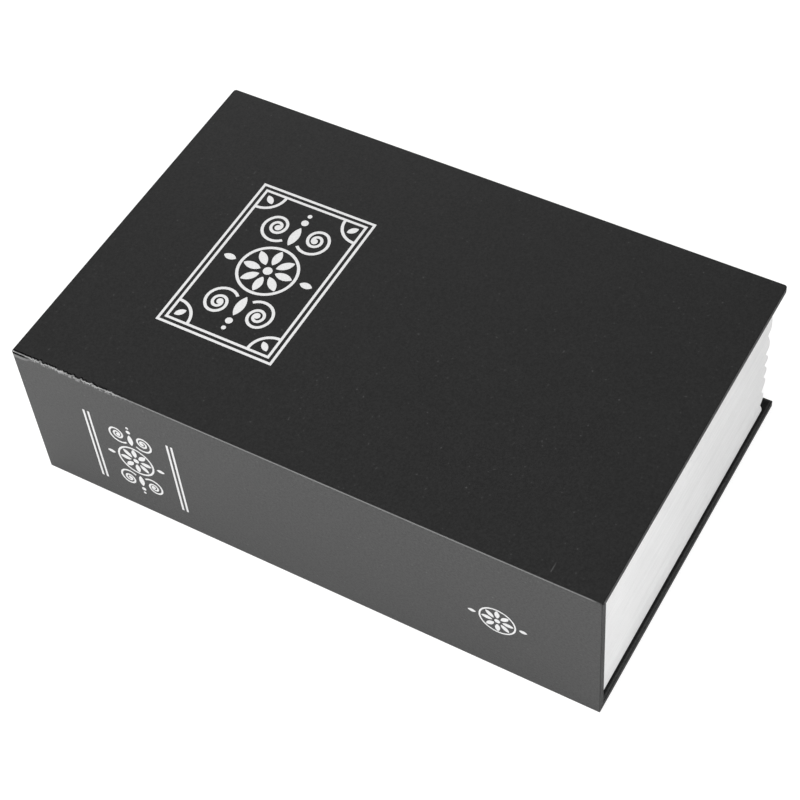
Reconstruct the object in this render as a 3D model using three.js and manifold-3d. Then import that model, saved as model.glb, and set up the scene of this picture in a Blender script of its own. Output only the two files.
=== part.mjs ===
// A book diversion safe: a hardback case with a moulded shell that looks like page edges, and inside it
// a folded steel tray whose hinged lid is shut by a key-operated cam lock.
// Units are millimetres. The book lies on its back cover: +Z is up, +X runs from the spine to the fore edge
// and +Y from the tail to the head. The origin is the centre of the footprint, on the table.

import * as THREE from "three";
import { mergeVertices } from "three/addons/utils/BufferGeometryUtils.js";
import Module from "manifold-3d";

const wasm = await Module();
wasm.setup();

// Book over its covers
const BOOK_HEIGHT = 180;
const BOOK_WIDTH = 115;
const BOOK_THICKNESS = 53.5;

// Case panels: printed paper folded round greyboard, lined with paper inside
const BOARD = 1.5;
const WRAP = 0.3;
const LINING = 0.2;
const GLUE_LINE = 0.05;
const TURN_IN = 14;
const LINING_MARGIN = 2.5;
const FOLD_GAP = 0.15;
const CORNER_RADIUS = 1.2;

// Page shell: one moulding with rippled page edges
const FORE_SQUARE = 5.1;
const END_SQUARE = 1.4;
const COVER_REST = 0.3;
const RIPPLE_DEPTH = 2;
const END_RIPPLE_DEPTH = 0.15;
const SHELL_WALL = 2;
const SHELL_BACK_WALL = 1.8;
const RIM_LIP = 1.6;
const RIM_THICKNESS = 2;
const FOOT_THICKNESS = 1.5;
const RIB_THICKNESS = 1.4;
const RIB_PITCH = 25;
const RIB_CLEARANCE = 0.3;
const RIB_DROP = 2;
const BACK_WALL_DROP = 3.2;
// The ripples from the back cover up, as shares of the page edge's height and of the ripple depth:
// how high a valley lies, how deep it is, and how high the next crest lies
const RIPPLE_SHARES = [
  [0.075, 0.75, 0.13],
  [0.235, 0.95, 0.285],
  [0.36, 0.75, 0.4],
  [0.45, 0.9, 0.48],
  [0.565, 1, 0.595],
  [0.72, 0.9, 0.76],
  [0.83, 0.8, 0.87],
  [0.95, 0.6, 1],
];

// Steel tray and lid
const SHEET = 0.8;
const TRAY_BEND = 1.4;
const TRAY_CORNER = 2.4;
const SKIRT = 7;
const SKIRT_GAP = 0.4;
const SKIRT_SETBACK = 9;
const LID_GAP = 0.6;
const LID_REST = 0.3;
const LID_BEND = 1.2;
const LID_CORNER = 3.6;
const LID_SETBACK = 1;

// Piano hinge between the tray and the lid
const PIN_RADIUS = 1;
const PIN_CLEARANCE = 0.1;
const HINGE_INSET = 9.25;
const HINGE_SETBACK = 4.2;
const KNUCKLE_COUNT = 9;
const KNUCKLE_GAP = 0.3;
const LEAF_DEPTH = 11;
const CURL_SEAM = 0.3;

// Cam lock through the lid
const LOCK_INSET = 16.2;
const HEAD_RADIUS = 9.5;
const HEAD_THICKNESS = 1.5;
const HEAD_CHAMFER = 0.6;
const HEAD_CLEARANCE = 0.6;
const BARREL_RADIUS = 8;
const BARREL_FLAT = 7;
const BARREL_LENGTH = 16;
const BARREL_CLEARANCE = 0.15;
const NUT_FLAT = 9.5;
const NUT_THICKNESS = 3;
const PLUG_RADIUS = 5;
const PLUG_CLEARANCE = 0.15;
const PLUG_RECESS = 0.25;
const TAIL_SIZE = 7;
const TAIL_CLEARANCE = 0.1;
const KEYWAY_WIDTH = 1.6;
const KEYWAY_HEIGHT = 7.2;
const KEYWAY_DEPTH = 14;
const WAFER_COUNT = 5;
const WAFER_THICKNESS = 0.8;
const WAFER_PITCH = 2.2;
const WAFER_WIDTH = 5.6;
const WAFER_FIRST = 2.6;
const WAFER_CLEARANCE = 0.1;
const WAFER_WINDOW_WIDTH = 2.4;
const WAFER_WINDOW_HEIGHT = 7.6;
const STOP_ORBIT = 6.9;
const STOP_RADIUS = 0.7;
const STOP_CLEARANCE = 0.3;
const WASHER_RADIUS = 7.8;
const WASHER_THICKNESS = 0.8;
const STACK_GAP = 0.1;
const CAM_THICKNESS = 2;
const CAM_RADIUS = 6.5;
const CAM_REACH = 13.4;
const SPRING_WASHER_INNER = 2.3;
const SPRING_WASHER_OUTER = 3.8;
const SPRING_WASHER_SPLIT = 0.9;
const SCREW_RADIUS = 2;
const SCREW_LENGTH = 8;
const SCREW_CLEARANCE = 0.15;
const SCREW_HEAD_RADIUS = 3.6;
const SCREW_HEAD_HEIGHT = 2.2;
const SCREW_SLOT_WIDTH = 1;
const SCREW_SLOT_DEPTH = 1;

// Strike inside the tray, which the locked cam turns under
const STRIKE_THICKNESS = 1.2;
const STRIKE_WIDTH = 26;
const STRIKE_HEIGHT = 9;
const STRIKE_CLEARANCE = 0.8;
const STRIKE_CAM_GAP = 0.5;
const STRIKE_CORNER = 2;

// Facets and the overrun of a cut past the piece it cuts
const ARC_STEPS = 4;
const RIPPLE_STEPS = 4;
const ROUND_STEPS = 24;
const HEAD_STEPS = 40;
const OVERRUN = 1;

// Case panel thickness, at its edge and over its lining
const EDGE_THICKNESS = BOARD + 2 * WRAP + 2 * GLUE_LINE;
const PANEL_THICKNESS = EDGE_THICKNESS + GLUE_LINE + LINING;
const SPINE_X = -BOOK_WIDTH / 2;
const FORE_X = BOOK_WIDTH / 2;
const HEAD_Y = BOOK_HEIGHT / 2;

// Page shell faces
const SHELL_BOTTOM = PANEL_THICKNESS + GLUE_LINE;
const SHELL_TOP = BOOK_THICKNESS - PANEL_THICKNESS - COVER_REST;
const SHELL_BACK_X = SPINE_X + PANEL_THICKNESS + GLUE_LINE;
const SHELL_CREST_X = FORE_X - FORE_SQUARE;
const SHELL_INNER_X = SHELL_CREST_X - RIPPLE_DEPTH - SHELL_WALL;
const SHELL_BACK_INNER_X = SHELL_BACK_X + SHELL_BACK_WALL;
const SHELL_END_Y = HEAD_Y - END_SQUARE;
const SHELL_INNER_Y = SHELL_END_Y - END_RIPPLE_DEPTH - SHELL_WALL;
const RIM_X = SHELL_INNER_X - RIM_LIP;
const RIM_Y = SHELL_INNER_Y - RIM_LIP;

// Lid, hinge and tray, each placed from the shell
const KNUCKLE_RADIUS = PIN_RADIUS + PIN_CLEARANCE + SHEET;
const LID_FRONT_X = RIM_X - LID_GAP;
const LID_END_Y = RIM_Y - LID_GAP;
const LID_TOP = SHELL_TOP + COVER_REST - HEAD_CLEARANCE - HEAD_THICKNESS;
const HINGE_X = SHELL_BACK_INNER_X + HINGE_SETBACK;
const HINGE_Z = LID_TOP - SHEET - GLUE_LINE - KNUCKLE_RADIUS;
const HINGE_END_Y = LID_END_Y - HINGE_INSET;
const TRAY_FRONT_X = LID_FRONT_X - SHEET - SKIRT_GAP;
const TRAY_BACK_X = HINGE_X + KNUCKLE_RADIUS - 2 * SHEET - GLUE_LINE;
const TRAY_END_Y = LID_END_Y - SHEET - SKIRT_GAP;
const TRAY_TOP = LID_TOP - SHEET - LID_REST;
const LOCK_X = LID_FRONT_X - LOCK_INSET;

const material = (color, roughness, metalness) =>
  new THREE.MeshStandardMaterial({ color, roughness, metalness });
const BLACK_PAPER = material(0x2b2b2c, 0.62, 0);
const GREYBOARD = material(0x8f8b83, 0.9, 0);
const BLACK_LINING = material(0x1c1c1d, 0.75, 0);
const PAGE_WHITE = material(0xe9e9e6, 0.6, 0);
const POWDER_COAT = material(0x26272a, 0.5, 0.3);
const PLATED_STEEL = material(0xb9bbbd, 0.35, 1);
const NICKEL = material(0xc9cac8, 0.22, 1);
const BRASS = material(0xb59a55, 0.35, 1);

// A closed three.js geometry as a solid that can be joined and cut
function solidOf(geometry) {
  geometry.deleteAttribute("normal");
  geometry.deleteAttribute("uv");
  const merged = mergeVertices(geometry);
  return new wasm.Manifold(
    new wasm.Mesh({
      numProp: 3,
      vertProperties: merged.attributes.position.array,
      triVerts: new Uint32Array(merged.index.array),
    }),
  );
}

function meshOf(name, solid, look) {
  const { vertProperties, triVerts } = solid.getMesh();
  const geometry = new THREE.BufferGeometry();
  geometry.setAttribute("position", new THREE.BufferAttribute(vertProperties, 3));
  geometry.setIndex(new THREE.BufferAttribute(triVerts, 1));
  geometry.computeVertexNormals();
  const mesh = new THREE.Mesh(geometry, look);
  mesh.name = name;
  return mesh;
}

const join = (...solids) => solids.reduce((whole, part) => whole.add(part));
const cut = (body, ...tools) => tools.reduce((left, tool) => left.subtract(tool), body);

function block([x0, x1], [y0, y1], [z0, z1]) {
  const box = new THREE.BoxGeometry(x1 - x0, y1 - y0, z1 - z0);
  return solidOf(box.translate((x0 + x1) / 2, (y0 + y1) / 2, (z0 + z1) / 2));
}

// A prism of a flat shape. The shape's two axes and the way it is extruded become the axes named.
const AXES = {
  x: new THREE.Matrix4().makeBasis(
    new THREE.Vector3(0, 1, 0),
    new THREE.Vector3(0, 0, 1),
    new THREE.Vector3(1, 0, 0),
  ),
  y: new THREE.Matrix4().makeBasis(
    new THREE.Vector3(1, 0, 0),
    new THREE.Vector3(0, 0, 1),
    new THREE.Vector3(0, -1, 0),
  ),
  z: new THREE.Matrix4(),
};
function prism(shape, from, to, along, steps = ARC_STEPS) {
  const geometry = new THREE.ExtrudeGeometry(shape, {
    depth: to - from,
    bevelEnabled: false,
    curveSegments: steps,
  });
  geometry.translate(0, 0, along === "y" ? -to : from);
  return solidOf(geometry.applyMatrix4(AXES[along]));
}

// A rectangle whose four corners have the radii given, from the low corner round anticlockwise
function rectangle([x0, x1], [y0, y1], radii) {
  const [a, b, c, d] = Array.isArray(radii) ? radii : [radii, radii, radii, radii];
  const shape = new THREE.Shape();
  const quarter = Math.PI / 2;
  const corner = (x, y, r, turn) =>
    r ? shape.absarc(x, y, r, turn * quarter, (turn + 1) * quarter) : shape.lineTo(x, y);
  shape.moveTo(x0, y0 + a);
  corner(x0 + a, y0 + a, a, 2);
  corner(x1 - b, y0 + b, b, 3);
  corner(x1 - c, y1 - c, c, 0);
  corner(x0 + d, y1 - d, d, 1);
  shape.closePath();
  return shape;
}

const plate = (xs, ys, [z0, z1], radii) => prism(rectangle(xs, ys, radii), z0, z1, "z");

// A plate whose lower rim is bent up with a radius, as sheet steel is over a die
function dish([x0, x1], [y0, y1], [z0, z1], corner, bend) {
  const geometry = new THREE.ExtrudeGeometry(rectangle([x0, x1], [y0, y1], corner), {
    depth: z1 - z0,
    bevelEnabled: true,
    bevelThickness: bend,
    bevelSize: bend,
    bevelOffset: -bend,
    bevelSegments: ARC_STEPS,
    curveSegments: ARC_STEPS,
  });
  const whole = solidOf(geometry.translate(0, 0, z0 + bend));
  const far = z1 + 2 * bend + OVERRUN;
  return cut(whole, block([x0 - OVERRUN, x1 + OVERRUN], [y0 - OVERRUN, y1 + OVERRUN], [z1, far]));
}

function disc(radius, from, to, steps = ROUND_STEPS) {
  const geometry = new THREE.CylinderGeometry(radius, radius, to - from, steps);
  return solidOf(geometry.rotateX(Math.PI / 2).translate(0, 0, (from + to) / 2));
}

// One panel of the case, lying flat with its outer face down and its folded edge along x = 0.
// The wrap goes round the board and is turned in over it; the lining covers the turn-ins.
// A panel with a second fold, the spine, is open at its far end as well.
function panel(name, length, secondFold) {
  const half = HEAD_Y;
  const past = -OVERRUN;
  const end = secondFold ? length + OVERRUN : length - WRAP;
  const round = secondFold ? 0 : CORNER_RADIUS;
  const corners = [0, round, round, 0];
  const inner = [0, round && round - WRAP, round && round - WRAP, 0];
  const mitre = (x, turn) => {
    const wedge = new THREE.Shape();
    wedge.moveTo(x + turn * FOLD_GAP - turn * OVERRUN, -OVERRUN);
    wedge.lineTo(x + turn * (FOLD_GAP + PANEL_THICKNESS + OVERRUN), PANEL_THICKNESS + OVERRUN);
    wedge.lineTo(x - turn * OVERRUN * 2, PANEL_THICKNESS + OVERRUN);
    wedge.closePath();
    return prism(wedge, -half - OVERRUN, half + OVERRUN, "y");
  };
  const folds = secondFold ? [mitre(0, 1), mitre(length, -1)] : [mitre(0, 1)];

  const turnIn = secondFold ? length + OVERRUN : length - TURN_IN;
  const wrap = cut(
    plate([0, length], [-half, half], [0, EDGE_THICKNESS], corners),
    plate([past, end], [-half + WRAP, half - WRAP], [WRAP, EDGE_THICKNESS - WRAP], inner),
    block([past, turnIn], [-half + TURN_IN, half - TURN_IN], [BOARD, EDGE_THICKNESS + OVERRUN]),
    ...folds,
  );

  const edge = WRAP + GLUE_LINE;
  const boardEnd = secondFold ? length : length - edge;
  const board = cut(
    plate([0, boardEnd], [-half + edge, half - edge], [edge, edge + BOARD], inner),
    ...folds,
  );

  const liningStart = PANEL_THICKNESS + FOLD_GAP;
  const liningEnd = length - (secondFold ? liningStart : LINING_MARGIN);
  const liningHalf = half - LINING_MARGIN;
  const lining = block(
    [liningStart, liningEnd],
    [-liningHalf, liningHalf],
    [EDGE_THICKNESS + GLUE_LINE, PANEL_THICKNESS],
  );

  const group = new THREE.Group();
  group.add(meshOf(`${name}_wrap`, wrap, BLACK_PAPER));
  group.add(meshOf(`${name}_board`, board, GREYBOARD));
  group.add(meshOf(`${name}_lining`, lining, BLACK_LINING));
  return group;
}

// Points of a rippled page edge: how far each lies inside the crests, and its height.
// Crests are round and valleys sharp, as where bundles of pages meet.
function ripples(depth, bottom, top) {
  const points = [];
  const add = (inset, share) => points.push([depth * inset, bottom + (top - bottom) * share]);
  let low = 0;
  for (const [valley, deep, high] of RIPPLE_SHARES) {
    for (let step = 0; step < RIPPLE_STEPS; step++) {
      const way = step / RIPPLE_STEPS;
      add(deep * (1 - Math.cos((way * Math.PI) / 2)), low + (valley - low) * way);
    }
    for (let step = 0; step < RIPPLE_STEPS; step++) {
      const way = step / RIPPLE_STEPS;
      add(deep * (1 - Math.sin((way * Math.PI) / 2)), valley + (high - valley) * way);
    }
    low = high;
  }
  add(0, 1);
  return points;
}

// The outer form of the shell: the fore edge and the two ends ripple, and meet in mitred corners
function pageBlock() {
  const fore = new THREE.Shape();
  fore.moveTo(SHELL_BACK_X, SHELL_BOTTOM);
  for (const [inset, z] of ripples(RIPPLE_DEPTH, SHELL_BOTTOM, SHELL_TOP)) {
    fore.lineTo(SHELL_CREST_X - inset, z);
  }
  fore.lineTo(SHELL_BACK_X, SHELL_TOP);
  fore.closePath();

  const edge = ripples(END_RIPPLE_DEPTH, SHELL_BOTTOM, SHELL_TOP);
  const ends = new THREE.Shape();
  edge.forEach(([inset, z], i) => {
    if (i) ends.lineTo(SHELL_END_Y - inset, z);
    else ends.moveTo(SHELL_END_Y - inset, z);
  });
  for (const [inset, z] of [...edge].reverse()) ends.lineTo(inset - SHELL_END_Y, z);
  ends.closePath();

  const lengthways = prism(fore, -HEAD_Y, HEAD_Y, "y");
  return lengthways.intersect(prism(ends, SPINE_X, FORE_X, "x"));
}

// Ribs that stiffen the shell and steady the tray, in rows along its four walls
function shellRibs() {
  const bottom = SHELL_BOTTOM;
  const top = LID_TOP - SKIRT - RIB_DROP;
  const backTop = HINGE_Z - LEAF_DEPTH - RIB_DROP;
  const half = RIB_THICKNESS / 2;
  const ribs = [];
  const countY = Math.floor((SHELL_INNER_Y - RIB_PITCH / 2) / RIB_PITCH);
  for (let i = -countY; i <= countY; i++) {
    const ys = [i * RIB_PITCH - half, i * RIB_PITCH + half];
    const front = [TRAY_FRONT_X + RIB_CLEARANCE, SHELL_INNER_X + SHELL_WALL / 2];
    const back = [SHELL_BACK_INNER_X - SHELL_BACK_WALL / 2, TRAY_BACK_X - RIB_CLEARANCE];
    ribs.push(block(front, ys, [bottom, top]), block(back, ys, [bottom, backTop]));
  }
  const countX = Math.floor((SHELL_INNER_X - RIB_PITCH / 2) / RIB_PITCH);
  for (let i = -countX; i <= countX; i++) {
    const xs = [i * RIB_PITCH - half, i * RIB_PITCH + half];
    const near = TRAY_END_Y + RIB_CLEARANCE;
    const far = SHELL_INNER_Y + SHELL_WALL / 2;
    ribs.push(block(xs, [near, far], [bottom, top]), block(xs, [-far, -near], [bottom, top]));
  }
  return ribs;
}

// A hollow frame: full walls at head, tail and fore edge under a flat rim, a foot glued to the back
// cover, and a lower wall along the spine that leaves the hinge free
function pageShell() {
  const top = SHELL_TOP + OVERRUN;
  const seat = RIB_CLEARANCE;
  const hollow = block(
    [SHELL_BACK_INNER_X, SHELL_INNER_X],
    [-SHELL_INNER_Y, SHELL_INNER_Y],
    [SHELL_BOTTOM + FOOT_THICKNESS, SHELL_TOP - RIM_THICKNESS],
  );
  const mouth = block([SHELL_BACK_INNER_X, RIM_X], [-RIM_Y, RIM_Y], [HINGE_Z, top]);
  const trayHole = block(
    [TRAY_BACK_X - seat, TRAY_FRONT_X + seat],
    [-TRAY_END_Y - seat, TRAY_END_Y + seat],
    [SHELL_BOTTOM - OVERRUN, SHELL_BOTTOM + FOOT_THICKNESS + OVERRUN],
  );
  const hingeRoom = block(
    [SHELL_BACK_X - OVERRUN, SHELL_BACK_INNER_X + OVERRUN],
    [-RIM_Y, RIM_Y],
    [HINGE_Z - BACK_WALL_DROP, top],
  );
  return join(cut(pageBlock(), hollow, mouth, trayHole, hingeRoom), ...shellRibs());
}

// The tray: a steel dish with its back wall cut down under the hinge
function tray() {
  const xs = [TRAY_BACK_X, TRAY_FRONT_X];
  const ys = [-TRAY_END_Y, TRAY_END_Y];
  const shrink = ([a, b]) => [a + SHEET, b - SHEET];
  const inside = dish(
    shrink(xs),
    shrink(ys),
    [SHELL_BOTTOM + SHEET, TRAY_TOP + OVERRUN],
    TRAY_CORNER - SHEET,
    TRAY_BEND - SHEET,
  );
  const hingeNotch = block(
    [TRAY_BACK_X - OVERRUN, TRAY_BACK_X + SHEET + OVERRUN / 2],
    [-HINGE_END_Y - KNUCKLE_GAP, HINGE_END_Y + KNUCKLE_GAP],
    [HINGE_Z - KNUCKLE_RADIUS - KNUCKLE_GAP, TRAY_TOP + OVERRUN],
  );
  return cut(
    dish(xs, ys, [SHELL_BOTTOM, TRAY_TOP], TRAY_CORNER, TRAY_BEND),
    inside,
    hingeNotch,
  );
}

// Cross-section of a hinge leaf in its own x-z plane: a strip along +x at the top of a curl round the pin
function curlProfile() {
  const outer = KNUCKLE_RADIUS;
  const inner = KNUCKLE_RADIUS - SHEET;
  const seam = Math.asin((inner - CURL_SEAM) / outer);
  const top = Math.PI / 2;
  const shape = new THREE.Shape();
  shape.moveTo(LEAF_DEPTH, inner);
  shape.lineTo(LEAF_DEPTH, outer);
  shape.lineTo(0, outer);
  shape.absarc(0, 0, outer, top, 2 * Math.PI + seam, false);
  shape.absarc(0, 0, inner, 2 * Math.PI + seam, top, true);
  shape.closePath();
  return shape;
}

// A hinge leaf: the curl is cut away wherever the other leaf has a knuckle
function hingeLeaf(own) {
  const end = HINGE_END_Y;
  const pitch = (2 * end) / KNUCKLE_COUNT;
  const reach = KNUCKLE_RADIUS + KNUCKLE_GAP;
  let leaf = prism(curlProfile(), -end, end, "y", ROUND_STEPS);
  for (let i = 0; i < KNUCKLE_COUNT; i++) {
    if (i % 2 === own) continue;
    const y0 = -end + i * pitch - (i ? KNUCKLE_GAP / 2 : OVERRUN);
    const y1 = -end + (i + 1) * pitch + (i < KNUCKLE_COUNT - 1 ? KNUCKLE_GAP / 2 : OVERRUN);
    leaf = cut(leaf, block([-reach, reach], [y0, y1], [-reach, reach]));
  }
  return leaf;
}

function hingePin() {
  return disc(PIN_RADIUS, -HINGE_END_Y, HINGE_END_Y).rotate([90, 0, 0]);
}

// The lid, placed from the hinge pin: a shallow upturned pan whose skirts hang outside the tray.
// It is open towards the hinge and has a double-D hole for the lock.
function lidPanel() {
  const top = LID_TOP - HINGE_Z;
  const front = LID_FRONT_X - HINGE_X;
  const back = LID_SETBACK - LID_CORNER - OVERRUN;
  const end = LID_END_Y;
  const pan = cut(
    dish([back, front], [-end, end], [-top, SKIRT - top], LID_CORNER, LID_BEND),
    dish(
      [back + SHEET, front - SHEET],
      [SHEET - end, end - SHEET],
      [SHEET - top, SKIRT - top + OVERRUN],
      LID_CORNER - SHEET,
      LID_BEND - SHEET,
    ),
  ).rotate([180, 0, 0]);
  const wide = [-end - OVERRUN, end + OVERRUN];
  const bottom = top - SKIRT - OVERRUN;
  const hole = doubleD(BARREL_CLEARANCE, top - SHEET - OVERRUN, top + OVERRUN);
  return cut(
    pan,
    block([back - OVERRUN, LID_SETBACK], wide, [bottom, top + OVERRUN]),
    block([back - OVERRUN, LID_SETBACK + SKIRT_SETBACK], wide, [bottom, top - LID_BEND]),
    hole.translate([LOCK_X - HINGE_X, 0, 0]),
  );
}

// The round barrel of the lock with its two flats, or its hole when grown by a clearance
function doubleD(grow, from, to) {
  const radius = BARREL_RADIUS + grow;
  const flat = BARREL_FLAT + grow;
  const slab = block([-flat, flat], [-radius - OVERRUN, radius + OVERRUN], [from, to]);
  return disc(radius, from, to, HEAD_STEPS).intersect(slab);
}

// The lock is drawn from its own axis, with z = 0 on the lid's top face and the key coming from above
function lockBody() {
  const profile = [
    [PLUG_RADIUS + PLUG_CLEARANCE, 0],
    [HEAD_RADIUS, 0],
    [HEAD_RADIUS, HEAD_THICKNESS - HEAD_CHAMFER],
    [HEAD_RADIUS - HEAD_CHAMFER, HEAD_THICKNESS],
    [PLUG_RADIUS + PLUG_CLEARANCE, HEAD_THICKNESS],
    [PLUG_RADIUS + PLUG_CLEARANCE, 0],
  ].map(([r, z]) => new THREE.Vector2(r, z));
  const head = solidOf(new THREE.LatheGeometry(profile, HEAD_STEPS).rotateX(Math.PI / 2));
  const bore = disc(PLUG_RADIUS + PLUG_CLEARANCE, -BARREL_LENGTH - OVERRUN, HEAD_THICKNESS, HEAD_STEPS);
  const barrel = cut(doubleD(0, -BARREL_LENGTH, HEAD_THICKNESS / 2), bore);
  const stop = disc(STOP_RADIUS, -BARREL_LENGTH - WASHER_THICKNESS, -BARREL_LENGTH + OVERRUN);
  return join(head, barrel, stop.translate([0, -STOP_ORBIT, 0]));
}

function lockNut() {
  const across = NUT_FLAT / Math.cos(Math.PI / 6);
  const top = -SHEET - GLUE_LINE;
  const hex = disc(across, top - NUT_THICKNESS, top, 6);
  const crown = new THREE.SphereGeometry(across + NUT_THICKNESS / 4, HEAD_STEPS, ROUND_STEPS);
  const hole = disc(BARREL_RADIUS + BARREL_CLEARANCE, top - NUT_THICKNESS - OVERRUN, OVERRUN, HEAD_STEPS);
  return cut(hex.intersect(solidOf(crown).translate([0, 0, top])), hole);
}

const waferTop = (i) => HEAD_THICKNESS - WAFER_FIRST - i * WAFER_PITCH;

// The plug: a round core slotted for the wafers and the key, with a square tail for the cam
function lockPlug() {
  const face = HEAD_THICKNESS - PLUG_RECESS;
  const tailEnd = -BARREL_LENGTH - STACK_GAP - WASHER_THICKNESS - CAM_THICKNESS;
  const half = TAIL_SIZE / 2;
  const keyway = block(
    [-KEYWAY_WIDTH / 2, KEYWAY_WIDTH / 2],
    [-KEYWAY_HEIGHT / 2, KEYWAY_HEIGHT / 2],
    [face - KEYWAY_DEPTH, face + OVERRUN],
  );
  const slots = Array.from({ length: WAFER_COUNT }, (_, i) => {
    const slotHalf = WAFER_WIDTH / 2 + WAFER_CLEARANCE;
    const top = waferTop(i) + WAFER_CLEARANCE;
    const bottom = waferTop(i) - WAFER_THICKNESS - WAFER_CLEARANCE;
    return block([-slotHalf, slotHalf], [-PLUG_RADIUS - OVERRUN, PLUG_RADIUS + OVERRUN], [bottom, top]);
  });
  const screwHole = disc(SCREW_RADIUS + SCREW_CLEARANCE, tailEnd - OVERRUN, tailEnd + SCREW_LENGTH);
  return cut(
    join(
      disc(PLUG_RADIUS, -BARREL_LENGTH, face, HEAD_STEPS),
      block([-half, half], [-half, half], [tailEnd, -BARREL_LENGTH + OVERRUN]),
    ),
    keyway,
    ...slots,
    screwHole,
  );
}

// A wafer: a flat plate with round ends and a window for the key blade
function wafer(i) {
  const top = waferTop(i);
  const bottom = top - WAFER_THICKNESS;
  const half = WAFER_WIDTH / 2;
  const strip = block([-half, half], [-PLUG_RADIUS, PLUG_RADIUS], [bottom, top]);
  const round = disc(PLUG_RADIUS - WAFER_CLEARANCE, bottom, top, HEAD_STEPS);
  const window = block(
    [-WAFER_WINDOW_WIDTH / 2, WAFER_WINDOW_WIDTH / 2],
    [-WAFER_WINDOW_HEIGHT / 2, WAFER_WINDOW_HEIGHT / 2],
    [bottom - OVERRUN, top + OVERRUN],
  );
  return cut(round.intersect(strip), window);
}

const tailHole = (from, to) => {
  const half = TAIL_SIZE / 2 + TAIL_CLEARANCE;
  return block([-half, half], [-half, half], [from - OVERRUN, to + OVERRUN]);
};

// The stop washer turns with the plug. The pin on the barrel stands in its notch and allows a quarter turn.
function stopWasher() {
  const top = -BARREL_LENGTH - STACK_GAP;
  const bottom = top - WASHER_THICKNESS;
  const spare = Math.asin((STOP_RADIUS + STOP_CLEARANCE) / STOP_ORBIT);
  const inner = STOP_ORBIT - STOP_RADIUS - STOP_CLEARANCE;
  const outer = WASHER_RADIUS + OVERRUN;
  const start = -Math.PI / 2 - spare;
  const end = spare;
  const notch = new THREE.Shape();
  notch.absarc(0, 0, outer, start, end, false);
  notch.absarc(0, 0, inner, end, start, true);
  notch.closePath();
  return cut(
    disc(WASHER_RADIUS, bottom, top, HEAD_STEPS),
    tailHole(bottom, top),
    prism(notch, bottom - OVERRUN, top + OVERRUN, "z", ROUND_STEPS),
  );
}

const camTop = -BARREL_LENGTH - STACK_GAP - WASHER_THICKNESS - STACK_GAP;

// The cam points to the head when the lock is open, and swings towards the fore edge to lock
function lockCam() {
  const bottom = camTop - CAM_THICKNESS;
  const shape = new THREE.Shape();
  shape.absarc(0, 0, CAM_RADIUS, Math.PI, 2 * Math.PI);
  shape.absarc(0, CAM_REACH - CAM_RADIUS, CAM_RADIUS, 0, Math.PI);
  shape.closePath();
  return cut(prism(shape, bottom, camTop, "z", ROUND_STEPS), tailHole(bottom, camTop));
}

const springTop = camTop - CAM_THICKNESS - STACK_GAP;

function springWasher() {
  const bottom = springTop - WASHER_THICKNESS;
  return cut(
    disc(SPRING_WASHER_OUTER, bottom, springTop),
    disc(SPRING_WASHER_INNER, bottom - OVERRUN, springTop + OVERRUN),
    block([0, SPRING_WASHER_OUTER + OVERRUN], [-SPRING_WASHER_SPLIT / 2, SPRING_WASHER_SPLIT / 2], [
      bottom - OVERRUN,
      springTop + OVERRUN,
    ]),
  );
}

function camScrew() {
  const top = springTop - WASHER_THICKNESS - STACK_GAP;
  const bottom = top - SCREW_HEAD_HEIGHT;
  const head = cut(
    disc(SCREW_HEAD_RADIUS, bottom, top),
    block(
      [-SCREW_HEAD_RADIUS - OVERRUN, SCREW_HEAD_RADIUS + OVERRUN],
      [-SCREW_SLOT_WIDTH / 2, SCREW_SLOT_WIDTH / 2],
      [bottom - OVERRUN, bottom + SCREW_SLOT_DEPTH],
    ),
  );
  return join(head, disc(SCREW_RADIUS, bottom + SCREW_HEAD_HEIGHT / 2 + STACK_GAP, top + SCREW_LENGTH));
}

// An angle spot-welded to the tray's front wall. Its level leg reaches over the locked cam.
function strikeBracket() {
  const wall = TRAY_FRONT_X - SHEET - GLUE_LINE;
  const tip = LOCK_X + BARREL_RADIUS + STRIKE_CLEARANCE;
  const bottom = LID_TOP + camTop + STRIKE_CAM_GAP;
  const half = STRIKE_WIDTH / 2;
  const section = new THREE.Shape();
  section.moveTo(tip, bottom);
  section.lineTo(wall - STRIKE_THICKNESS, bottom);
  section.absarc(wall - STRIKE_THICKNESS, bottom + STRIKE_THICKNESS, STRIKE_THICKNESS, -Math.PI / 2, 0);
  section.lineTo(wall, bottom + STRIKE_HEIGHT);
  section.lineTo(wall - STRIKE_THICKNESS, bottom + STRIKE_HEIGHT);
  section.lineTo(wall - STRIKE_THICKNESS, bottom + STRIKE_THICKNESS);
  section.lineTo(tip, bottom + STRIKE_THICKNESS);
  section.closePath();
  const plan = rectangle([tip, wall + OVERRUN], [-half, half], [STRIKE_CORNER, 0, 0, STRIKE_CORNER]);
  const column = prism(plan, bottom - OVERRUN, bottom + STRIKE_HEIGHT + OVERRUN, "z");
  return prism(section, -half, half, "y").intersect(column);
}

function lockGroup() {
  const lock = new THREE.Group();
  lock.position.set(LOCK_X - HINGE_X, 0, LID_TOP - HINGE_Z);
  lock.add(meshOf("lock_body", lockBody(), NICKEL));
  lock.add(meshOf("lock_nut", lockNut(), PLATED_STEEL));
  const turning = new THREE.Group();
  turning.add(meshOf("lock_plug", lockPlug(), NICKEL));
  for (let i = 0; i < WAFER_COUNT; i++) {
    turning.add(meshOf(`wafer_${i + 1}`, wafer(i), BRASS));
  }
  turning.add(meshOf("stop_washer", stopWasher(), PLATED_STEEL));
  turning.add(meshOf("lock_cam", lockCam(), PLATED_STEEL));
  turning.add(meshOf("spring_washer", springWasher(), PLATED_STEEL));
  turning.add(meshOf("cam_screw", camScrew(), PLATED_STEEL));
  lock.add(turning);
  return lock;
}

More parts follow.
